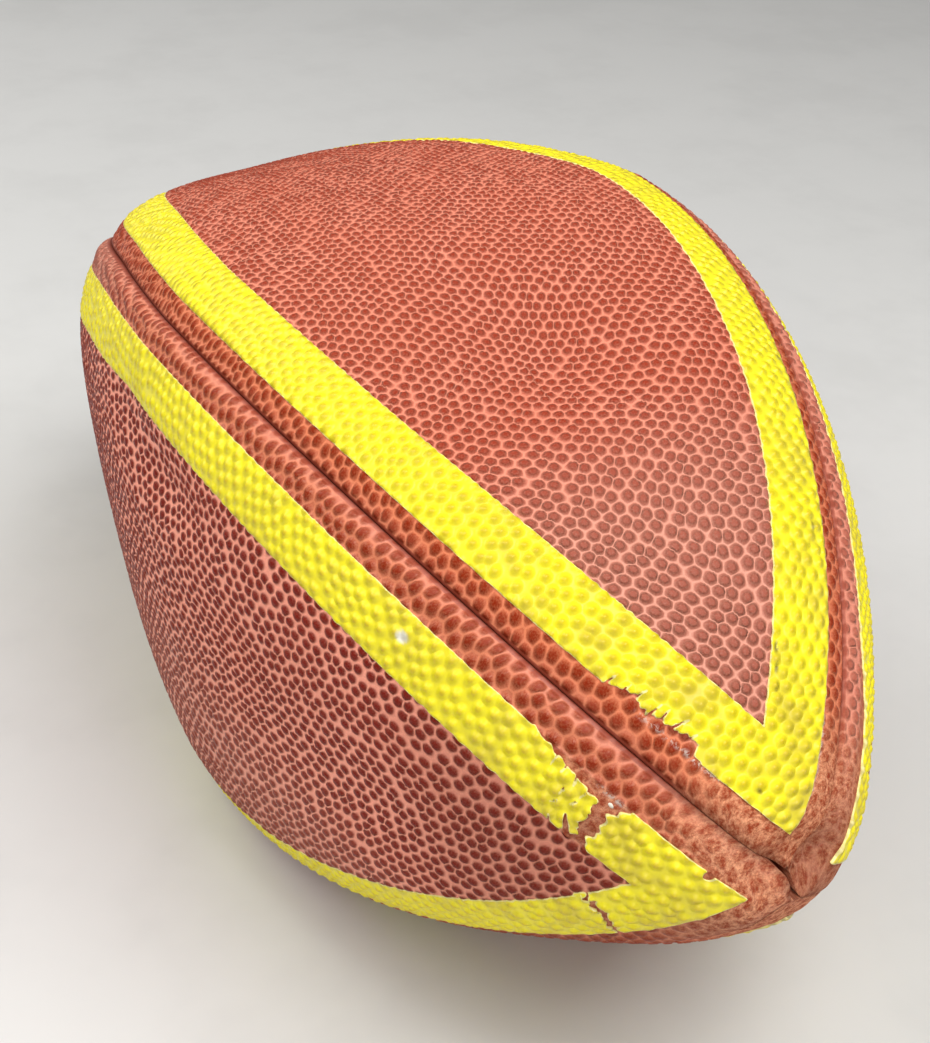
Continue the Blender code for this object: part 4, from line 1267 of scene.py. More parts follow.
# --- skin -------------------------------------------------------------------------------------------
@dataclass
class SkinPanel:
    """One panel of the skin as a closed solid: pebbled face, rolled lips, turned-in edges, lining."""

    form: BallForm
    side: Side
    layout: Layout
    slack: Slack
    depth: float = 0.55
    belly_depth: float = -0.05    # the underside's bare field carries the ball and stands proud
    belly_ramp: float = 3.0
    belly_half: float = 90.0
    belly_fade: float = 25.0
    relief: float = 0.46
    crease: float = 0.15
    crease_width: float = 0.5
    rib_depth: float = 9.0
    rib_thick: float = 2.2
    rib_middle: float = 0.45      # how far down a rib its bend lies
    plain_edge: float = 0.4
    laced_half: float = 66.0
    spread: float = 1.5
    spread_fall: float = 2.2
    lining_columns: int = 11
    lining_shade: float = 0.6
    seam_shade: float = 0.45
    crest_at: dict = field(default_factory=lambda: {   # crests of the lips, worn pale and lit with a painted highlight: place, width and strength
        Side.TOP: (1.6, 1.0, 0.2), Side.LEFT: (1.1, 1.0, 0.55), Side.RIGHT: (3.0, 3.0, 0.95),
        Side.BOTTOM: (1.8, 1.4, 0.6)})
    crest_wave: float = 31.0
    tip_wear: Stretch = (122.0, 134.0)    # along X, where the worn end's edges and its whole tip are rubbed
    nose_wear: Stretch = (134.0, 138.0)
    far_wear: Stretch = (130.0, 137.0)    # and the far end's edges, along -X
    wear_reach: Stretch = (5.0, 9.0)      # from a seam
    strip_reach: Stretch = (8.0, 5.0)     # from a seam: where the strip's own colour starts and is full
    left_fade: Stretch = (75.0, 108.0)    # along X, where painted shade darkens the left field towards the worn end

    def edge_depth(self, s: Array, seam: Seam) -> Array:
        """Depth of the turned-in edge at a seam: the laced stretch keeps the plain skin's.

        Args:
            s: Stations along the ball.
            seam: The seam.

        Returns:
            Depth at each station.
        """
        plain = self.form.wall_depth + self.plain_edge
        if seam is not Seam.BOTTOM_RIGHT:
            return np.full_like(s, self.rib_depth)
        past = smooth(np.abs(s) * self.form.half_length, self.laced_half - 2.0, self.laced_half + 2.0)
        return plain + (self.rib_depth - plain) * past

    def inner_columns(self, sheet: PanelSheet) -> Array:
        """Points of the turned-in edges and the lining, from the last seam back to the first.

        Args:
            sheet: The panel.

        Returns:
            Points by row and column.
        """
        form, s = self.form, sheet.s
        sides, feet = [], []
        for sign, seam, edge in zip((1.0, -1.0), self.side.value, (sheet.start, sheet.end)):
            deep = self.edge_depth(s, seam)
            opened = self.spread * np.minimum(1.0, self.spread_fall * form.profile(s))
            opened = np.where(deep > form.wall_depth + 1.0, opened, 0.0)
            mouth = sign * np.maximum(form.seam_gap, opened) / 2.0
            foot = edge + sign * self.rib_thick / (form.section(s, edge) * np.sqrt(form.profile(s)))
            middle = form.wall_depth + self.rib_middle * (deep - form.wall_depth)
            sides.append([form.place(s, edge, middle, 0.0, sign * form.seam_gap / 2.0),
                          form.place(s, edge, deep, 0.0, mouth), form.place(s, foot, deep, 0.0, mouth)])
            feet.append(foot)
        lining = []
        for turn in np.linspace(0.0, math.pi, self.lining_columns):
            angle = feet[0] + (feet[1] - feet[0]) * (1.0 - math.cos(turn)) / 2.0
            share = (angle - sheet.start) / (sheet.end - sheet.start)
            lining.append(form.place(s, angle, form.wall_depth, form.dent_depth(self.side, s, share)))
        line = sides[1] + lining[::-1] + sides[0][::-1]
        across = np.concatenate((np.ones(len(sides[1])), np.linspace(0.95, 0.05, len(lining)),
                                 np.zeros(len(sides[0]))))
        near = across[None, :] * 2.0 * sheet.half[:, None]
        far = (1.0 - across)[None, :] * 2.0 * sheet.half[:, None]
        return self.slack.drifted(sheet, np.stack(line, axis=1), near, far)

    def outer_depth(self, sheet: PanelSheet) -> Array | float:
        """Depth of the outer face.

        Args:
            sheet: The panel.

        Returns:
            One depth, or one for each point.
        """
        if self.side is not Side.BOTTOM:
            return self.depth
        past = smooth(RING.reach_in(sheet) - RING.width, 0.0, self.belly_ramp)
        fade = np.clip((self.belly_half - np.abs(sheet.x)) / self.belly_fade, 0.0, 1.0)[:, None]
        return self.depth + (self.belly_depth - self.depth) * past * fade

    def glue_left(self, sheet: PanelSheet) -> Array:
        """Glue left beside the film's worn edges.

        Args:
            sheet: The panel.

        Returns:
            Share of every point.
        """
        x = sheet.x[:, None]
        if self.side is Side.TOP:
            glue = 0.9 * hill(sheet.far, 4.9, 0.4) * smooth(x, 116.0, 118.0)
            glue = glue * (1.0 - smooth(x, 128.5, 130.0)) * (0.6 + 0.4 * smooth(x, 123.5, 125.0))
            return glue + 0.6 * hill(sheet.near, 4.7, 0.35) * smooth(x, 125.0, 127.0) * (x < 134.0)
        if self.side is Side.LEFT:
            glue = 0.8 * hill(sheet.near, 6.5, 0.35) * smooth(x, 118.0, 119.5)
            return glue * (1.0 - smooth(x, 122.0, 123.0))
        return np.zeros_like(sheet.near)

    def tints(self, sheet: PanelSheet) -> tuple[Array, Array, Array]:
        """How the panel's colour shifts, with painted sheen in its light tone.

        Args:
            sheet: The panel.

        Returns:
            Shares of the light tone, which is painted sheen, of dusty colour, and of the colour of the strips
            at the seams.
        """
        x = sheet.x[:, None]
        strip = smooth(sheet.closest, *self.strip_reach)
        # the light tone paints sheen: almost full on the top and right, less on the bottom, on the left only
        # towards its far end
        plain = np.ones_like(strip)
        if self.side is Side.TOP:
            dusty = (0.08 + 0.8 * smooth(x, 66.0, 100.0)) * (1.0 - strip)
            return 0.95 * plain, dusty, strip * (1.0 - smooth(-x, 0.0, 100.0))
        if self.side is Side.RIGHT:
            return 0.95 * plain, 0.25 * (1.0 - strip) + 0.5 * strip, strip * (1.0 - 0.95)
        pale = 1.0 - smooth(-x, 0.0, 70.0)
        if self.side is Side.BOTTOM:
            return 0.4 * plain, 0.35 * (1.0 - strip), strip * pale
        strip = np.maximum(strip, 0.25 * smooth(x, 80.0, 108.0))
        # towards the far end the left panel's strip is painted lighter through its dusty tone, with the light
        # tone: painted light
        dusty = 0.5 * smooth(sheet.near, 50.0, 90.0) * (1.0 - strip) + 0.95 * strip * smooth(-x, 0.0, 50.0)
        return (0.10 + 0.85 * strip) * smooth(-x, 10.0, 60.0), dusty, strip * pale

    def shade(self, sheet: PanelSheet) -> Array:
        """Painted shade along the seams, wider where the top left seam has parted, on the right panel's worn
        corner, and where the left panel darkens towards the worn end.

        Args:
            sheet: The panel.

        Returns:
            Share of every point.
        """
        x, seams = sheet.x[:, None], self.side.value
        # painted shade in every seam's groove
        seam = self.seam_shade * hill(sheet.closest, 0.0, 0.25)
        if Seam.TOP_RIGHT in seams:   # shallower than the others, so less painted shade
            seam = np.where(sheet.distance(seams[1] is Seam.TOP_RIGHT) < 3.0, 0.5 * seam, seam)
        if Seam.TOP_LEFT in seams:    # painted shadow widens where it has parted towards the worn end
            wide, least = (1.3, 0.35) if self.side is Side.TOP else (0.8, 0.0)
            strength = least + (0.5 - least) * smooth(x, 106.0, 128.0)
            seam = np.maximum(seam, strength * hill(sheet.distance(seams[1] is Seam.TOP_LEFT), 0.0, wide))
        # painted shadow on the right panel's worn corner
        if self.side is Side.RIGHT:
            seam = np.maximum(seam, 0.4 * smooth(x, 132.0, 138.0))
        # painted shade on the left field towards the worn end
        if self.side is Side.LEFT:
            seam = np.maximum(seam, 0.26 * smooth(x, *self.left_fade) * smooth(sheet.near, 8.0, 14.0))
        return seam

    def values(self, sheet: PanelSheet) -> dict[str, Array]:
        """Relief, wear (with the lips' crests, which also carry a painted highlight) and tint of every point
        of the outer face.

        Args:
            sheet: The panel.

        Returns:
            Values by name, each by row and column.
        """
        d, x = sheet.closest, sheet.x[:, None]
        place, width, strength = self.crest_at[self.side]
        lip = hill(d, place, width) * strength * (0.85 + 0.15 * ripple(x, self.crest_wave, 5))
        tip = smooth(x, *self.tip_wear) + 0.8 * smooth(-x, *self.far_wear)
        tip = tip * smooth(self.wear_reach[1] - d, 0.0, self.wear_reach[1] - self.wear_reach[0])
        tip = np.clip(tip + 0.9 * smooth(x, *self.nose_wear), 0.0, 1.0)
        covered = smooth(RING.inside(sheet), -0.4, 0.2)
        if self.side is Side.TOP:     # the film's outer edge has broken away here
            outer = smooth(sheet.far, 10.5, 9.5) * smooth(x, 108.0, 110.0) * (1.0 - smooth(x, 125.0, 126.0))
            covered = covered * (1.0 - outer)
        relief = self.relief * smooth(d, 0.3, 1.3) * (1.0 - 0.35 * np.clip(lip, 0.0, 1.0))
        relief = relief * (1.0 - 0.85 * tip) * (1.0 - 0.85 * covered)
        if self.side is Side.LEFT:    # bare and rough where the film has come away
            bare = smooth(x, 112.0, 114.0) * (1.0 - smooth(x, 123.0, 125.0))
            tip = np.maximum(tip, 0.75 * covered * bare)
        light, dusty, strip = self.tints(sheet)
        wear = np.stack((np.clip(lip, 0.0, 1.0), tip, self.glue_left(sheet)), axis=-1)
        tint = np.stack((light, self.shade(sheet), dusty), axis=-1)
        return {"relief": relief, "wear": wear, "tint": tint, "strip": strip}

    def build(self, finish: Material) -> None:
        """Build the panel, press its pebbles and hand it to the frame.

        Args:
            finish: Its material.
        """
        sheet = PanelSheet(self.form, self.side, self.layout)
        extra = self.crease * np.square(np.clip(1.0 - sheet.closest / self.crease_width, 0.0, 1.0))
        extra = extra * self.form.profile(sheet.s)[:, None]
        outer = sheet.shape(self.outer_depth(sheet), extra, self.slack)
        inner = self.inner_columns(sheet)
        points = np.concatenate((outer, inner), axis=1)
        count = inner.shape[1]
        values = {"grain": np.pad(sheet.pattern(self.side.number), ((0, 0), (0, count), (0, 0)), mode="edge")}
        for key, grid in self.values(sheet).items():
            values[key] = np.pad(grid, [(0, 0), (0, count)] + [(0, 0)] * (grid.ndim - 2))
        # the turned-in edges and the lining take painted seam shade, which also stands for their raw edges'
        # dark brown
        values["tint"][:, -count:, 1] = self.lining_shade
        bm = grid_bmesh(len(sheet.s), points.shape[1], wrap=True, caps=True)
        mesh = mesh_from(bm, "skin_" + self.side.label, points, values)
        face_outwards(mesh)
        piece = new_piece(mesh.name, mesh)
        GRAIN.press(piece)
        hand_over(piece, finish, "panel_" + self.side.label)


# --- films ------------------------------------------------------------------------------------------
class FilmPart(Enum):
    """Which piece of a stripe a film is."""

    WHOLE = "whole"
    MAIN = "main"
    FLAKE = "flake"


@dataclass(frozen=True)
class TornEdges:
    """Edges of the broken films: corners of each line, as X and as millimetres back or from a seam."""

    top_x: Line = (111.0, 113.5, 115.0, 117.5, 119.5, 121.7, 122.2, 124.2, 124.8, 126.0)
    top_back: Line = (0.0, 1.1, 1.6, 0.6, 1.4, 1.4, 2.0, 2.0, 0.5, 0.0)
    end_from: Line = (6.5, 8.1, 10.0, 13.9, 15.6, 17.2)      # where the main piece of the left film ends
    end_x: Line = (117.6, 119.3, 119.0, 117.9, 117.6, 115.6)
    start_from: Line = (6.4, 7.0, 9.1, 13.5, 15.5, 17.2)     # and its flake starts
    start_x: Line = (123.5, 122.8, 121.1, 120.3, 118.8, 119.5)
    crack_from: Line = (6.0, 6.9, 12.2, 16.0, 17.2)          # the crack in its lower arm
    crack_x: Line = (121.4, 121.2, 121.2, 119.3, 118.9)
    crack_half: float = 0.5
    pebble: float = 2.1        # the left film has broken back in steps of a pebble
    pebbles_from: float = 109.0
    pebbles: float = 5.0


@dataclass
class StripeFilm:
    """One piece of stripe film: a thin sheet with worn, split and torn edges."""

    form: BallForm
    side: Side
    layout: Layout
    slack: Slack
    part: FilmPart = FilmPart.WHOLE
    torn: TornEdges = TornEdges()
    depth: float = 0.35
    root: float = 0.85         # depth of its underside, sunk into the skin
    relief: float = 0.50
    wobble: float = 0.08
    snap: float = 0.62         # of a row or column: how far the rim's vertices move onto the outline
    flat_turn: float = math.radians(4.0)
    slits: tuple[Slit, ...] = ()
    chips: tuple[Spot, ...] = ()
    scuffs: tuple[Spot, ...] = ()
    bites: tuple[Spot, ...] = ()
    crumbs: tuple[Spot, ...] = ()

    def away_from(self, sheet: PanelSheet, slit: Slit, from_end: bool) -> Array:
        """How far points lie from a slit.

        Args:
            sheet: The panel.
            slit: The slit.
            from_end: Whether the slit is placed from the seam that the panel ends at.

        Returns:
            Distance of every point, negative inside the slit.
        """
        start = np.array(sheet.spot(from_end, slit.x, slit.start))
        end = np.array(sheet.spot(from_end, slit.to_x, slit.end))
        line = end - start
        along, across = sheet.beside(from_end) - start[0], sheet.distance(from_end) - start[1]
        share = np.clip((along * line[0] + across * line[1]) / float(line @ line), 0.0, 1.0)
        gap = np.hypot(along - share * line[0], across - share * line[1])
        return gap - slit.width / 2.0 * (1.0 - 0.75 * share)

    def outside_spot(self, sheet: PanelSheet, spot: Spot) -> Array:
        """How far points lie from an oval spot.

        Args:
            sheet: The panel.
            spot: The spot.

        Returns:
            Distance of every point, negative inside the spot.
        """
        run, distance = sheet.spot(spot.from_end, spot.x, spot.distance)
        along, across = sheet.beside(spot.from_end) - run, sheet.distance(spot.from_end) - distance
        away = np.hypot(along / spot.long, across / spot.wide)
        return (away - 1.0) * min(spot.long, spot.wide)

    def edge_step(self, x: Array) -> Array:
        """How far the film's outer edge has broken back along its worn stretch.

        Args:
            x: Places along X.

        Returns:
            Distance at each place.
        """
        torn = self.torn
        if self.side is Side.TOP:
            back = np.interp(x, torn.top_x, torn.top_back)
            return back + 0.2 * ripple(x, 1.3, 11) * (back > 0.0)
        if self.side is Side.LEFT:
            turn = (x - torn.pebbles_from) / torn.pebble
            steps = np.floor(turn) + smooth(turn - np.floor(turn), 0.0, 0.35)
            back = np.clip(steps / torn.pebbles, 0.0, 1.0) * torn.pebble
            return back + 0.12 * ripple(x, 1.7, 12) * (x > torn.pebbles_from - 1.0)
        return 2.0 * smooth(x, 108.0, 128.0)

    def outline(self, sheet: PanelSheet) -> Array:
        """How far points lie inside the film's outline.

        Args:
            sheet: The panel.

        Returns:
            Distance of every point, negative outside the outline.
        """
        worn = {False: self.part is FilmPart.MAIN, True: self.side in (Side.TOP, Side.RIGHT)}
        reach = []
        for from_end in (False, True):
            inside = sheet.distance(from_end) - RING.inset(sheet, from_end)[:, None]
            inside = inside - self.wobble * 0.6 * ripple(sheet.beside(from_end), 3.4, 3 + from_end)
            reach.append(inside - self.edge_step(sheet.x[:, None]) if worn[from_end] else inside)
        ruffle = np.where(sheet.near <= sheet.far, ripple(sheet.beside(False), 2.4, 21),
                          ripple(sheet.beside(True), 2.4, 22))
        inside = np.minimum(np.minimum(*reach), RING.width + self.wobble * ruffle - RING.reach_in(sheet))
        if self.side is Side.LEFT:
            inside = np.minimum(inside, self.this_side(sheet))
        for slit in self.slits:
            inside = np.minimum(inside, self.away_from(sheet, slit, self.side is Side.TOP))
        for bite in self.bites:
            inside = np.minimum(inside, self.outside_spot(sheet, bite))
        for crumb in self.crumbs:
            inside = np.maximum(inside, -self.outside_spot(sheet, crumb))
        return inside

    def this_side(self, sheet: PanelSheet) -> Array:
        """How far points of the left film lie on this piece's side of the tear and the crack.

        Args:
            sheet: The panel.

        Returns:
            Distance of every point.
        """
        x, torn = sheet.x[:, None], self.torn
        upper = sheet.near <= sheet.far
        crack = np.interp(sheet.far, torn.crack_from, torn.crack_x) + 0.22 * ripple(sheet.far, 1.5, 34)
        if self.part is FilmPart.MAIN:
            teeth = 0.3 * ripple(sheet.near, 2.3, 31) + 0.15 * ripple(sheet.near, 0.9, 32)
            end = np.interp(sheet.near, torn.end_from, torn.end_x) + teeth
            return np.where(upper, end - x, crack - torn.crack_half - x)
        start = np.interp(sheet.near, torn.start_from, torn.start_x) + 0.25 * ripple(sheet.near, 1.6, 33)
        return np.where(upper, x - start, x - crack - 0.45)

    def marks(self, sheet: PanelSheet) -> Array:
        """Scuffs, chips and grime.

        Args:
            sheet: The panel.

        Returns:
            Their three shares at every point.
        """
        layers = []
        for spots in (self.scuffs, self.chips):
            total = np.zeros_like(sheet.near)
            for spot in spots:
                total = np.maximum(total, smooth(-self.outside_spot(sheet, spot), -0.15, 0.35))
            layers.append(total)
        grime = 0.35 + 0.4 * smooth(sheet.x, 60.0, 130.0)[:, None] * np.ones_like(sheet.near)
        return np.stack((*layers, grime), axis=-1)

    def cut_out(self, bm: BMesh, inside: Array) -> tuple[Array, Array]:
        """Cut the film out of a grid.

        Args:
            bm: The panel's grid, of which the film's cells are kept.
            inside: How far every point lies inside the outline.

        Returns:
            Fractions of a row and a column that put each point of the new rim on the outline.
        """
        row_of, column_of = bm.verts.layers.int["row"], bm.verts.layers.int["column"]
        kept = (inside[:-1, :-1] + inside[1:, :-1] + inside[:-1, 1:] + inside[1:, 1:]) / 4.0 > 0.0
        gone = [face for face in bm.faces
                if not kept[min(v[row_of] for v in face.verts), min(v[column_of] for v in face.verts)]]
        bmesh.ops.delete(bm, geom=gone, context="FACES")
        pad = np.pad(kept, 1)
        corners = (pad[:-1, :-1], pad[1:, :-1], pad[:-1, 1:], pad[1:, 1:])
        rim = np.any(corners, axis=0) & ~np.all(corners, axis=0)
        slopes = np.gradient(inside)
        square = np.maximum(slopes[0] ** 2 + slopes[1] ** 2, 1e-6)
        by_row, by_column = (np.where(rim, np.clip(-inside * slope / square, -self.snap, self.snap), 0.0)
                             for slope in slopes)
        return by_row, by_column

    def build(self, finish: Material, node: str) -> None:
        """Build the film, press its pebbles, close it and hand it to the frame.

        Args:
            finish: Its material.
            node: The solid that it stands in for.
        """
        sheet = PanelSheet(self.form, self.side, self.layout)
        inside = self.outline(sheet)
        bm = grid_bmesh(*inside.shape)
        off = self.cut_out(bm, inside)
        values = {"grain": sheet.pattern(self.side.number),
                  "relief": self.relief * (0.35 + 0.65 * smooth(RING.inside(sheet), 0.0, 1.5)),
                  "edge": inside, "marks": self.marks(sheet),
                  "root": sheet.shape(self.root, 0.0, self.slack) * MM}
        name = "film_" + self.side.label + ("_flake" if self.part is FilmPart.FLAKE else "")
        mesh = mesh_from(bm, name, sheet.shape(self.depth, 0.0, self.slack), values, off)
        piece = new_piece(name, mesh)
        self.turn_up(mesh)
        GRAIN.press(piece, veiled=True)
        self.close(piece.data)
        hand_over(piece, finish, node)

    def turn_up(self, mesh: Mesh) -> None:
        """Turn the open sheet's faces outwards, away from the ball's axis.

        Args:
            mesh: The sheet.
        """
        bm = bmesh.new()
        bm.from_mesh(mesh)
        centre = Vector((0.0, 0.0, self.form.rest_height * MM))
        if sum((f.calc_center_median() - centre).dot(f.normal) for f in bm.faces) < 0.0:
            bmesh.ops.reverse_faces(bm, faces=bm.faces[:])
            bm.to_mesh(mesh)
        bm.free()

    def close(self, mesh: Mesh) -> None:
        """Give the sheet its underside, sunk into the skin, and its rim.

        Args:
            mesh: The sheet, with its underside's places in 'root'.
        """
        bm = bmesh.new()
        bm.from_mesh(mesh)
        bmesh.ops.delete(bm, geom=[v for v in bm.verts if not v.link_faces], context="VERTS")
        root = bm.verts.layers.float_vector["root"]
        under = bmesh.ops.extrude_face_region(bm, geom=bm.faces[:], use_keep_orig=True)["geom"]
        for vert in (g for g in under if isinstance(g, bmesh.types.BMVert)):
            vert.co = vert[root]
        new_faces = {g for g in under if isinstance(g, bmesh.types.BMFace)}
        faces = [f for f in bm.faces if f in new_faces]   # in the mesh's order, so that each run is alike
        bmesh.ops.recalc_face_normals(bm, faces=bm.faces[:])
        if bm.calc_volume(signed=True) < 0.0:
            bmesh.ops.reverse_faces(bm, faces=bm.faces[:])
        bmesh.ops.dissolve_limit(bm, angle_limit=self.flat_turn, use_dissolve_boundaries=False,
                                 verts=list(dict.fromkeys(v for f in faces for v in f.verts)),
                                 edges=list(dict.fromkeys(e for f in faces for e in f.edges)))
        bm.verts.layers.float_vector.remove(bm.verts.layers.float_vector["root"])
        bm.to_mesh(mesh)
        bm.free()
        mesh.shade_smooth()


# --- lacing and valve -------------------------------------------------------------------------------
@dataclass
class Lacing:
    """The lace: one lengthwise run over the seam and eight crosses that dip into their eyelets."""

    form: BallForm
    crosses: int = 8
    pitch: float = 13.0
    eyelet: float = 7.5
    width: float = 3.6
    thick: float = 1.1
    cross_depth: float = -1.3
    run_depth: float = -0.6
    run_width: float = 5.2
    run_past: float = 5.0
    sides: int = 20
    corner: float = 3.2        # superellipse power of the lace's section
    dip: float = 2.6           # depth of a cross in its eyelets
    steps: int = 41
    run_steps: int = 161
    run_swell: float = 0.12    # how much the run rises between crosses
    sway: float = 0.25

    def stations(self) -> list[float]:
        """Where the crosses lie along the ball."""
        return [self.pitch * (i - (self.crosses - 1) / 2.0) for i in range(self.crosses)]

    def point(self, x: Array, offset: Array, depth: Array) -> Array:
        """Points beside the laced seam; a positive offset is up the right panel.

        Args:
            x: Places along X.
            offset: Distances from the seam.
            depth: Depths under the outer form.

        Returns:
            Points in millimetres.
        """
        form = self.form
        x, offset, depth = (np.asarray(v, float) for v in np.broadcast_arrays(x, offset, depth))
        s = x / form.half_length
        seam = form.seam_angle(Seam.BOTTOM_RIGHT, s)
        reach = form.profile(s) * form.section(s, seam)
        angle = seam + offset / reach
        total = np.zeros_like(x)
        for side, chosen in ((Side.RIGHT, offset >= 0.0), (Side.BOTTOM, offset < 0.0)):
            start, end = form.panel_angles(side, s)
            share = np.mod(angle - start, 2.0 * math.pi) / (end - start)
            total = np.where(chosen, form.dent_depth(side, s, share), total)
        return form.place(s, angle, depth, total)

    def ribbon(self, name: str, path: Array, broad: Array, width: float) -> Mesh:
        """A soft flat cord along a path.

        Args:
            name: Name of the mesh.
            path: Points of the path in millimetres.
            broad: Direction across the cord at each point.
            width: Width of the cord.

        Returns:
            The closed cord.
        """
        run = along_rows(path)
        ahead = np.gradient(path, axis=0)
        ahead /= np.linalg.norm(ahead, axis=1, keepdims=True)
        broad = broad - ahead * np.sum(broad * ahead, axis=1, keepdims=True)
        broad /= np.linalg.norm(broad, axis=1, keepdims=True)
        up = np.cross(ahead, broad)
        turn = np.linspace(0.0, 2.0 * math.pi, self.sides, endpoint=False)
        c, q = np.cos(turn), np.sin(turn)
        flat = np.sign(c) * np.abs(c) ** (2.0 / self.corner) * width / 2.0
        high = np.sign(q) * np.abs(q) ** (2.0 / self.corner) * self.thick / 2.0
        points = path[:, None] + broad[:, None] * flat[None, :, None] + up[:, None] * high[None, :, None]
        lay = np.stack(np.broadcast_arrays(run[:, None], flat[None, :], high[None, :]), axis=-1)
        bm = grid_bmesh(len(path), self.sides, wrap=True, caps=True)
        mesh = mesh_from(bm, name, points, {"lay": lay})
        face_outwards(mesh)
        return mesh

    def cross_path(self, x: float) -> tuple[Array, Array]:
        """Path of one cross, out of one eyelet and into the other, and its breadth direction.

        Args:
            x: Where the cross lies along the ball.

        Returns:
            Its points, and the direction across it at each.
        """
        turn = np.linspace(0.0, math.pi, self.steps)
        offset = -self.eyelet * np.sign(np.cos(turn)) * np.abs(np.cos(turn)) ** 0.45
        lift = np.sin(turn) ** 0.42
        depth = self.dip + (self.cross_depth - self.dip) * lift
        lean = 0.5 * np.cos(turn)
        path = self.point(x + lean, offset, depth)
        broad = self.point(x + 1.0, offset, depth) - self.point(x - 1.0, offset, depth)
        return path, broad

    def build(self, finish: Material) -> None:
        """Build the run and the crosses as one piece and hand it to the frame.

        Args:
            finish: Its material.
        """
        reach = (self.crosses - 1) / 2.0 * self.pitch + self.run_past
        x = np.linspace(-reach, reach, self.run_steps)
        swell = self.run_swell * np.cos(2.0 * math.pi * (x - self.pitch / 2.0) / self.pitch)
        path = self.point(x, self.sway * ripple(x, 40.0, 7), self.run_depth + swell)
        broad = self.point(x, 1.0, self.run_depth) - self.point(x, -1.0, self.run_depth)
        meshes = [self.ribbon("lace_run", path, broad, self.run_width)]
        for i, at in enumerate(self.stations()):
            path, broad = self.cross_path(at + self.sway * math.sin(2.3 * i))
            meshes.append(self.ribbon("lace_cross", path, broad, self.width))
        bm = bmesh.new()
        for mesh in meshes:
            bm.from_mesh(mesh)
            bpy.data.meshes.remove(mesh)
        hand_over(new_piece("lacing", new_mesh(bm, "lacing")), finish, "lace")


@dataclass
class Valve:
    """The rubber valve: a round head in the skin with a needle hole in its middle."""

    form: BallForm
    across: float = 0.30
    sides: int = 64
    length: float = 15.0
    sunk: float = 0.4      # depth of its head in the skin
    step: float = 0.02     # how far off the skin is felt for its slope, as a station and in radians

    def frame(self) -> Matrix:
        """Find where the valve sits.

        Returns:
            Place of its head's middle, turned so that Z points out of the ball.
        """
        form = self.form
        start, end = (float(a) for a in form.panel_angles(Side.RIGHT, np.float64(0.0)))
        angle = start + (end - start) * self.across
        step = self.step

        def spot(s: float, turn: float) -> Vector:
            """Point of the skin near the valve."""
            dent = form.dent_depth(Side.RIGHT, np.float64(s), np.float64((turn - start) / (end - start)))
            return Vector(form.place(np.float64(s), np.float64(turn), self.sunk, dent).tolist())

        middle = spot(0.0, angle)
        out = (spot(0.0, angle + step) - middle).cross(middle - spot(step, angle)).normalized()
        if out.dot(middle - Vector((0.0, 0.0, form.rest_height))) < 0.0:
            out = -out
        turn = out.to_track_quat("Z", "Y").to_matrix().to_4x4()
        return Matrix.Translation(middle * MM) @ turn

    def build(self, finish: Material) -> None:
        """Turn the valve about its axis and set it in the skin.

        Args:
            finish: Its material.
        """
        outline = ((0.0, -3.4), (0.62, -3.2), (0.72, -0.9), (0.95, -0.42), (1.35, -0.2), (1.75, -0.3),
                   (2.05, -0.42), (2.4, -0.3), (2.75, -0.08), (3.3, 0.02), (3.75, 0.0), (4.05, -0.1),
                   (4.22, -0.34), (4.25, -0.8), (4.2, -3.4), (8.0, -3.45), (8.0, -4.6), (3.2, -4.65),
                   (3.2, -self.length), (0.0, -self.length))
        bm = bmesh.new()
        verts = [bm.verts.new((r * MM, 0.0, z * MM)) for r, z in outline]
        edges = [bm.edges.new(pair) for pair in zip(verts, verts[1:])]
        bmesh.ops.spin(bm, geom=verts + edges, cent=(0.0, 0.0, 0.0), axis=(0.0, 0.0, 1.0),
                       angle=2.0 * math.pi, steps=self.sides, use_merge=True)
        bmesh.ops.remove_doubles(bm, verts=bm.verts[:], dist=1e-6)
        bmesh.ops.recalc_face_normals(bm, faces=bm.faces[:])
        bm.transform(self.frame())
        mesh = new_mesh(bm, "valve_rubber")
        face_outwards(mesh)
        hand_over(new_piece("valve_rubber", mesh), finish, "valve")


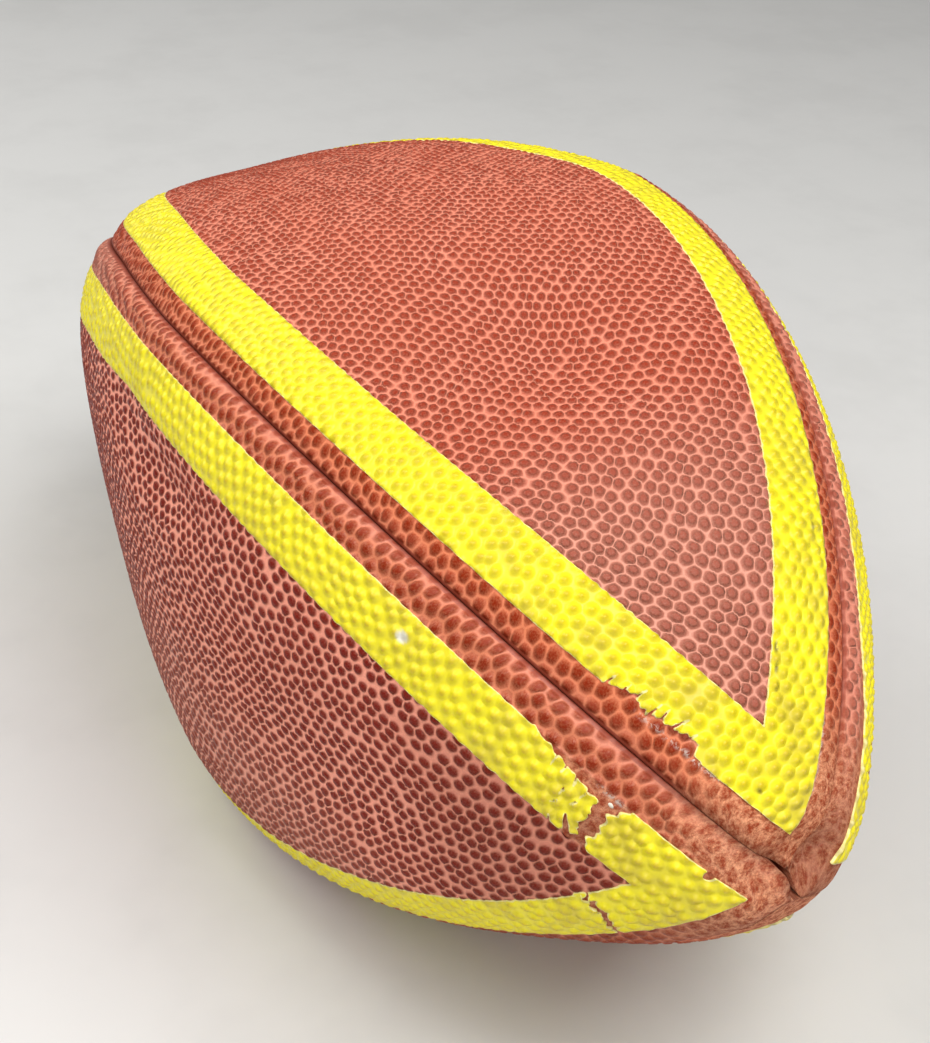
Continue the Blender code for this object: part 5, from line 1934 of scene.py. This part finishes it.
# --- studio -----------------------------------------------------------------------------------------
@dataclass
class Studio:
    """Pale floor, soft light and the camera."""

    camera_place: Move = (0.2863, -0.1459, 0.2683)
    ball_middle: Move = (0.0, 0.0, 0.0695)
    lens: float = 59.25
    yaw: float = 0.0334
    pitch: float = -0.0212
    tilt: float = -0.0049
    floor_size: float = 4.0
    lights: tuple = (      # name, place, what it points at, size and power
        ("overhead", (0.40, 0.15, 0.86), (0.0, 0.0, 0.05), 0.6, 7.1),
        ("fill", (0.68, -0.56, 0.76), (0.0, 0.0, 0.05), 0.8, 5.6),
        ("back_fill", (-0.55, -0.45, 0.70), (-0.08, 0.0, 0.06), 0.7, 5.0))
    sky: str = "#dcdcdc"
    sky_strength: float = 0.22

    def add_camera(self) -> None:
        """Set up the camera, turned a little off the ball's middle."""
        place, middle = Vector(self.camera_place), Vector(self.ball_middle)
        ahead = (middle - place).normalized()
        right = ahead.cross(Vector((0.0, 0.0, 1.0))).normalized()
        up = right.cross(ahead)

        def turned(a: Vector, b: Vector, angle: float) -> tuple[Vector, Vector]:
            """Two square directions, turned in their plane."""
            return a * math.cos(angle) + b * math.sin(angle), b * math.cos(angle) - a * math.sin(angle)

        ahead, right = turned(ahead, right, self.yaw)
        ahead, up = turned(ahead, up, self.pitch)
        right, up = turned(right, up, self.tilt)
        data = bpy.data.cameras.new("camera")
        data.lens = self.lens
        data.sensor_width = 36.0
        data.clip_start = 0.01
        obj = bpy.data.objects.new("camera", data)
        turn = Matrix((right, up, -ahead)).transposed().to_4x4()
        obj.matrix_world = Matrix.Translation(place) @ turn
        bpy.context.scene.collection.objects.link(obj)
        bpy.context.scene.camera = obj

    def add_floor(self) -> None:
        """Lay the plain pale floor."""
        bm = bmesh.new()
        bmesh.ops.create_grid(bm, x_segments=1, y_segments=1, size=self.floor_size)
        floor = new_piece("floor", new_mesh(bm, "floor"))
        # matt painted board: even and pale, its roller texture too fine to show
        dress(floor, PlainStuff("matt_painted_board", "#d3d2cf", "#cdccc9", 0.75, 60.0, 0.6, 0.01).make())

    def add_light(self, name: str, place: tuple, towards: tuple, size: float, power: float) -> None:
        """Hang one soft square light.

        Args:
            name: Name of the light.
            place: Where it hangs.
            towards: What it points at.
            size: Length of its sides.
            power: Its power in watts.
        """
        data = bpy.data.lights.new(name, "AREA")
        data.size, data.energy = size, power
        obj = bpy.data.objects.new(name, data)
        way = Vector(towards) - Vector(place)
        turn = way.to_track_quat("-Z", "Y").to_matrix().to_4x4()
        obj.matrix_world = Matrix.Translation(Vector(place)) @ turn
        bpy.context.scene.collection.objects.link(obj)

    def build(self) -> None:
        """Set up everything around the ball."""
        self.add_camera()
        self.add_floor()
        for name, place, towards, size, power in self.lights:
            self.add_light(name, place, towards, size, power)
        world = bpy.data.worlds.new("studio")
        bpy.context.scene.world = world
        world.use_nodes = True
        set_inputs(world.node_tree.nodes["Background"], {"Color": hex_colour(self.sky),
                                                         "Strength": self.sky_strength})
        bpy.context.scene.view_settings.view_transform = "Standard"


# --- the whole ball ---------------------------------------------------------------------------------
TOP_SLITS = (
    Slit(111.6, 4.5, 111.7, 6.9), Slit(113.7, 5.5, 113.8, 7.4, 0.4), Slit(115.3, 6.0, 115.5, 8.2, 0.4),
    Slit(117.9, 5.0, 118.0, 8.0), Slit(119.3, 6.0, 118.9, 8.5, 0.45), Slit(120.7, 6.0, 121.2, 8.8),
    Slit(123.0, 6.6, 123.1, 8.0, 0.35))
TOP_SCUFFS = (
    Spot(61.0, 9.3, 1.6, 0.5), Spot(67.6, 5.9, 1.2, 0.5), Spot(101.5, 7.5, 1.8, 0.4),
    Spot(117.6, 15.2, 1.3, 0.5), Spot(120.0, 14.9, 1.2, 0.45), Spot(122.2, 14.6, 0.9, 0.4),
    Spot(104.6, 8.6, 0.8, 0.3), Spot(131.6, 7.5, 0.7, 0.4, True))
LEFT_SLITS = (
    Slit(112.7, 6.0, 112.1, 9.0, 0.35), Slit(114.3, 6.9, 113.7, 8.8, 0.45),
    Slit(115.8, 6.9, 115.8, 9.2), Slit(114.8, 10.5, 114.4, 11.8, 0.4),
    Slit(118.0, 7.6, 117.0, 10.2, 0.4), Slit(114.3, 13.0, 113.4, 14.1, 0.4),
    Slit(116.8, 10.9, 116.0, 12.1, 0.4), Slit(113.7, 17.6, 113.7, 15.9),
    Slit(116.4, 17.4, 115.9, 13.9, 1.5))


def dress_hidden(frame: dict) -> None:
    """Give the solids that stay as they are their own finishes.

    Args:
        frame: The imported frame.
    """
    finishes = {
        # butyl bladder: dull black-brown rubber with a bloom of talc
        "bladder": PlainStuff("talced_butyl_rubber", "#2c2a28", "#4a4642", 0.62, 12.0, 0.5, 0.03),
        # cotton drill under the lacing: matt, undyed, with its weave
        "lace_lining": PlainStuff("cotton_drill", "#a8987c", "#83755c", 0.88, 8.0, 0.4, 0.05),
        # waxed polyester thread: off-white and a little shiny
        "seam_thread": PlainStuff("waxed_polyester_thread", "#b9a98c", "#7d6d55", 0.55, 3.0, 0.2, 0.03),
    }
    for start, finish in finishes.items():
        material = finish.make()
        for name, node in frame["nodes"].items():
            if name.startswith(start):
                dress(node, material)
                log.info("%s: dressed", name)


def main() -> None:
    """Build the ball's pieces in order, and the studio round them."""
    logging.basicConfig(level=logging.INFO, format="%(message)s")
    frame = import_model()
    form, slack = BallForm(), Slack()
    skin, coat = PebbledSkin().make(), StripeCoat().make()

    fine, plain = Layout(470, 178), Layout(380, 150)
    for side, layout in ((Side.TOP, fine), (Side.LEFT, fine), (Side.BOTTOM, plain), (Side.RIGHT, plain)):
        SkinPanel(form, side, layout, slack).build(skin)

    torn = Layout(600, 176, fine=1.6, edge_crowd=0.0)
    whole = Layout(430, 150, edge_crowd=0.0)
    films = {
        "stripe_top": StripeFilm(form, Side.TOP, torn, slack, slits=TOP_SLITS, scuffs=TOP_SCUFFS),
        "stripe_left": StripeFilm(form, Side.LEFT, torn, slack, FilmPart.MAIN, slits=LEFT_SLITS,
                                  chips=(Spot(85.2, 10.2, 1.3, 1.1),)),
        "stripe_left_flake": StripeFilm(form, Side.LEFT, torn, slack, FilmPart.FLAKE,
                                        chips=(Spot(120.9, 7.6, 0.9, 0.7),),
                                        bites=(Spot(133.0, 6.6, 0.9, 1.0),),
                                        crumbs=(Spot(118.3, 17.1, 1.4, 0.6, True),
                                                Spot(120.9, 7.6, 0.45, 0.3))),
        "stripe_right": StripeFilm(form, Side.RIGHT, whole, slack),
        "stripe_bottom": StripeFilm(form, Side.BOTTOM, whole, slack),
    }
    for node, film in films.items():
        film.build(coat, node)

    Lacing(form).build(BraidedLace().make())
    # moulded natural rubber: black, soft sheen, a little chalky
    rubber = PlainStuff("moulded_black_rubber", "#1d1c1b", "#3a3735", 0.5, 5.0, 0.35, 0.02)
    Valve(form).build(rubber.make())
    dress_hidden(frame)
    Studio().build()


if __name__ == "__main__":
    main()
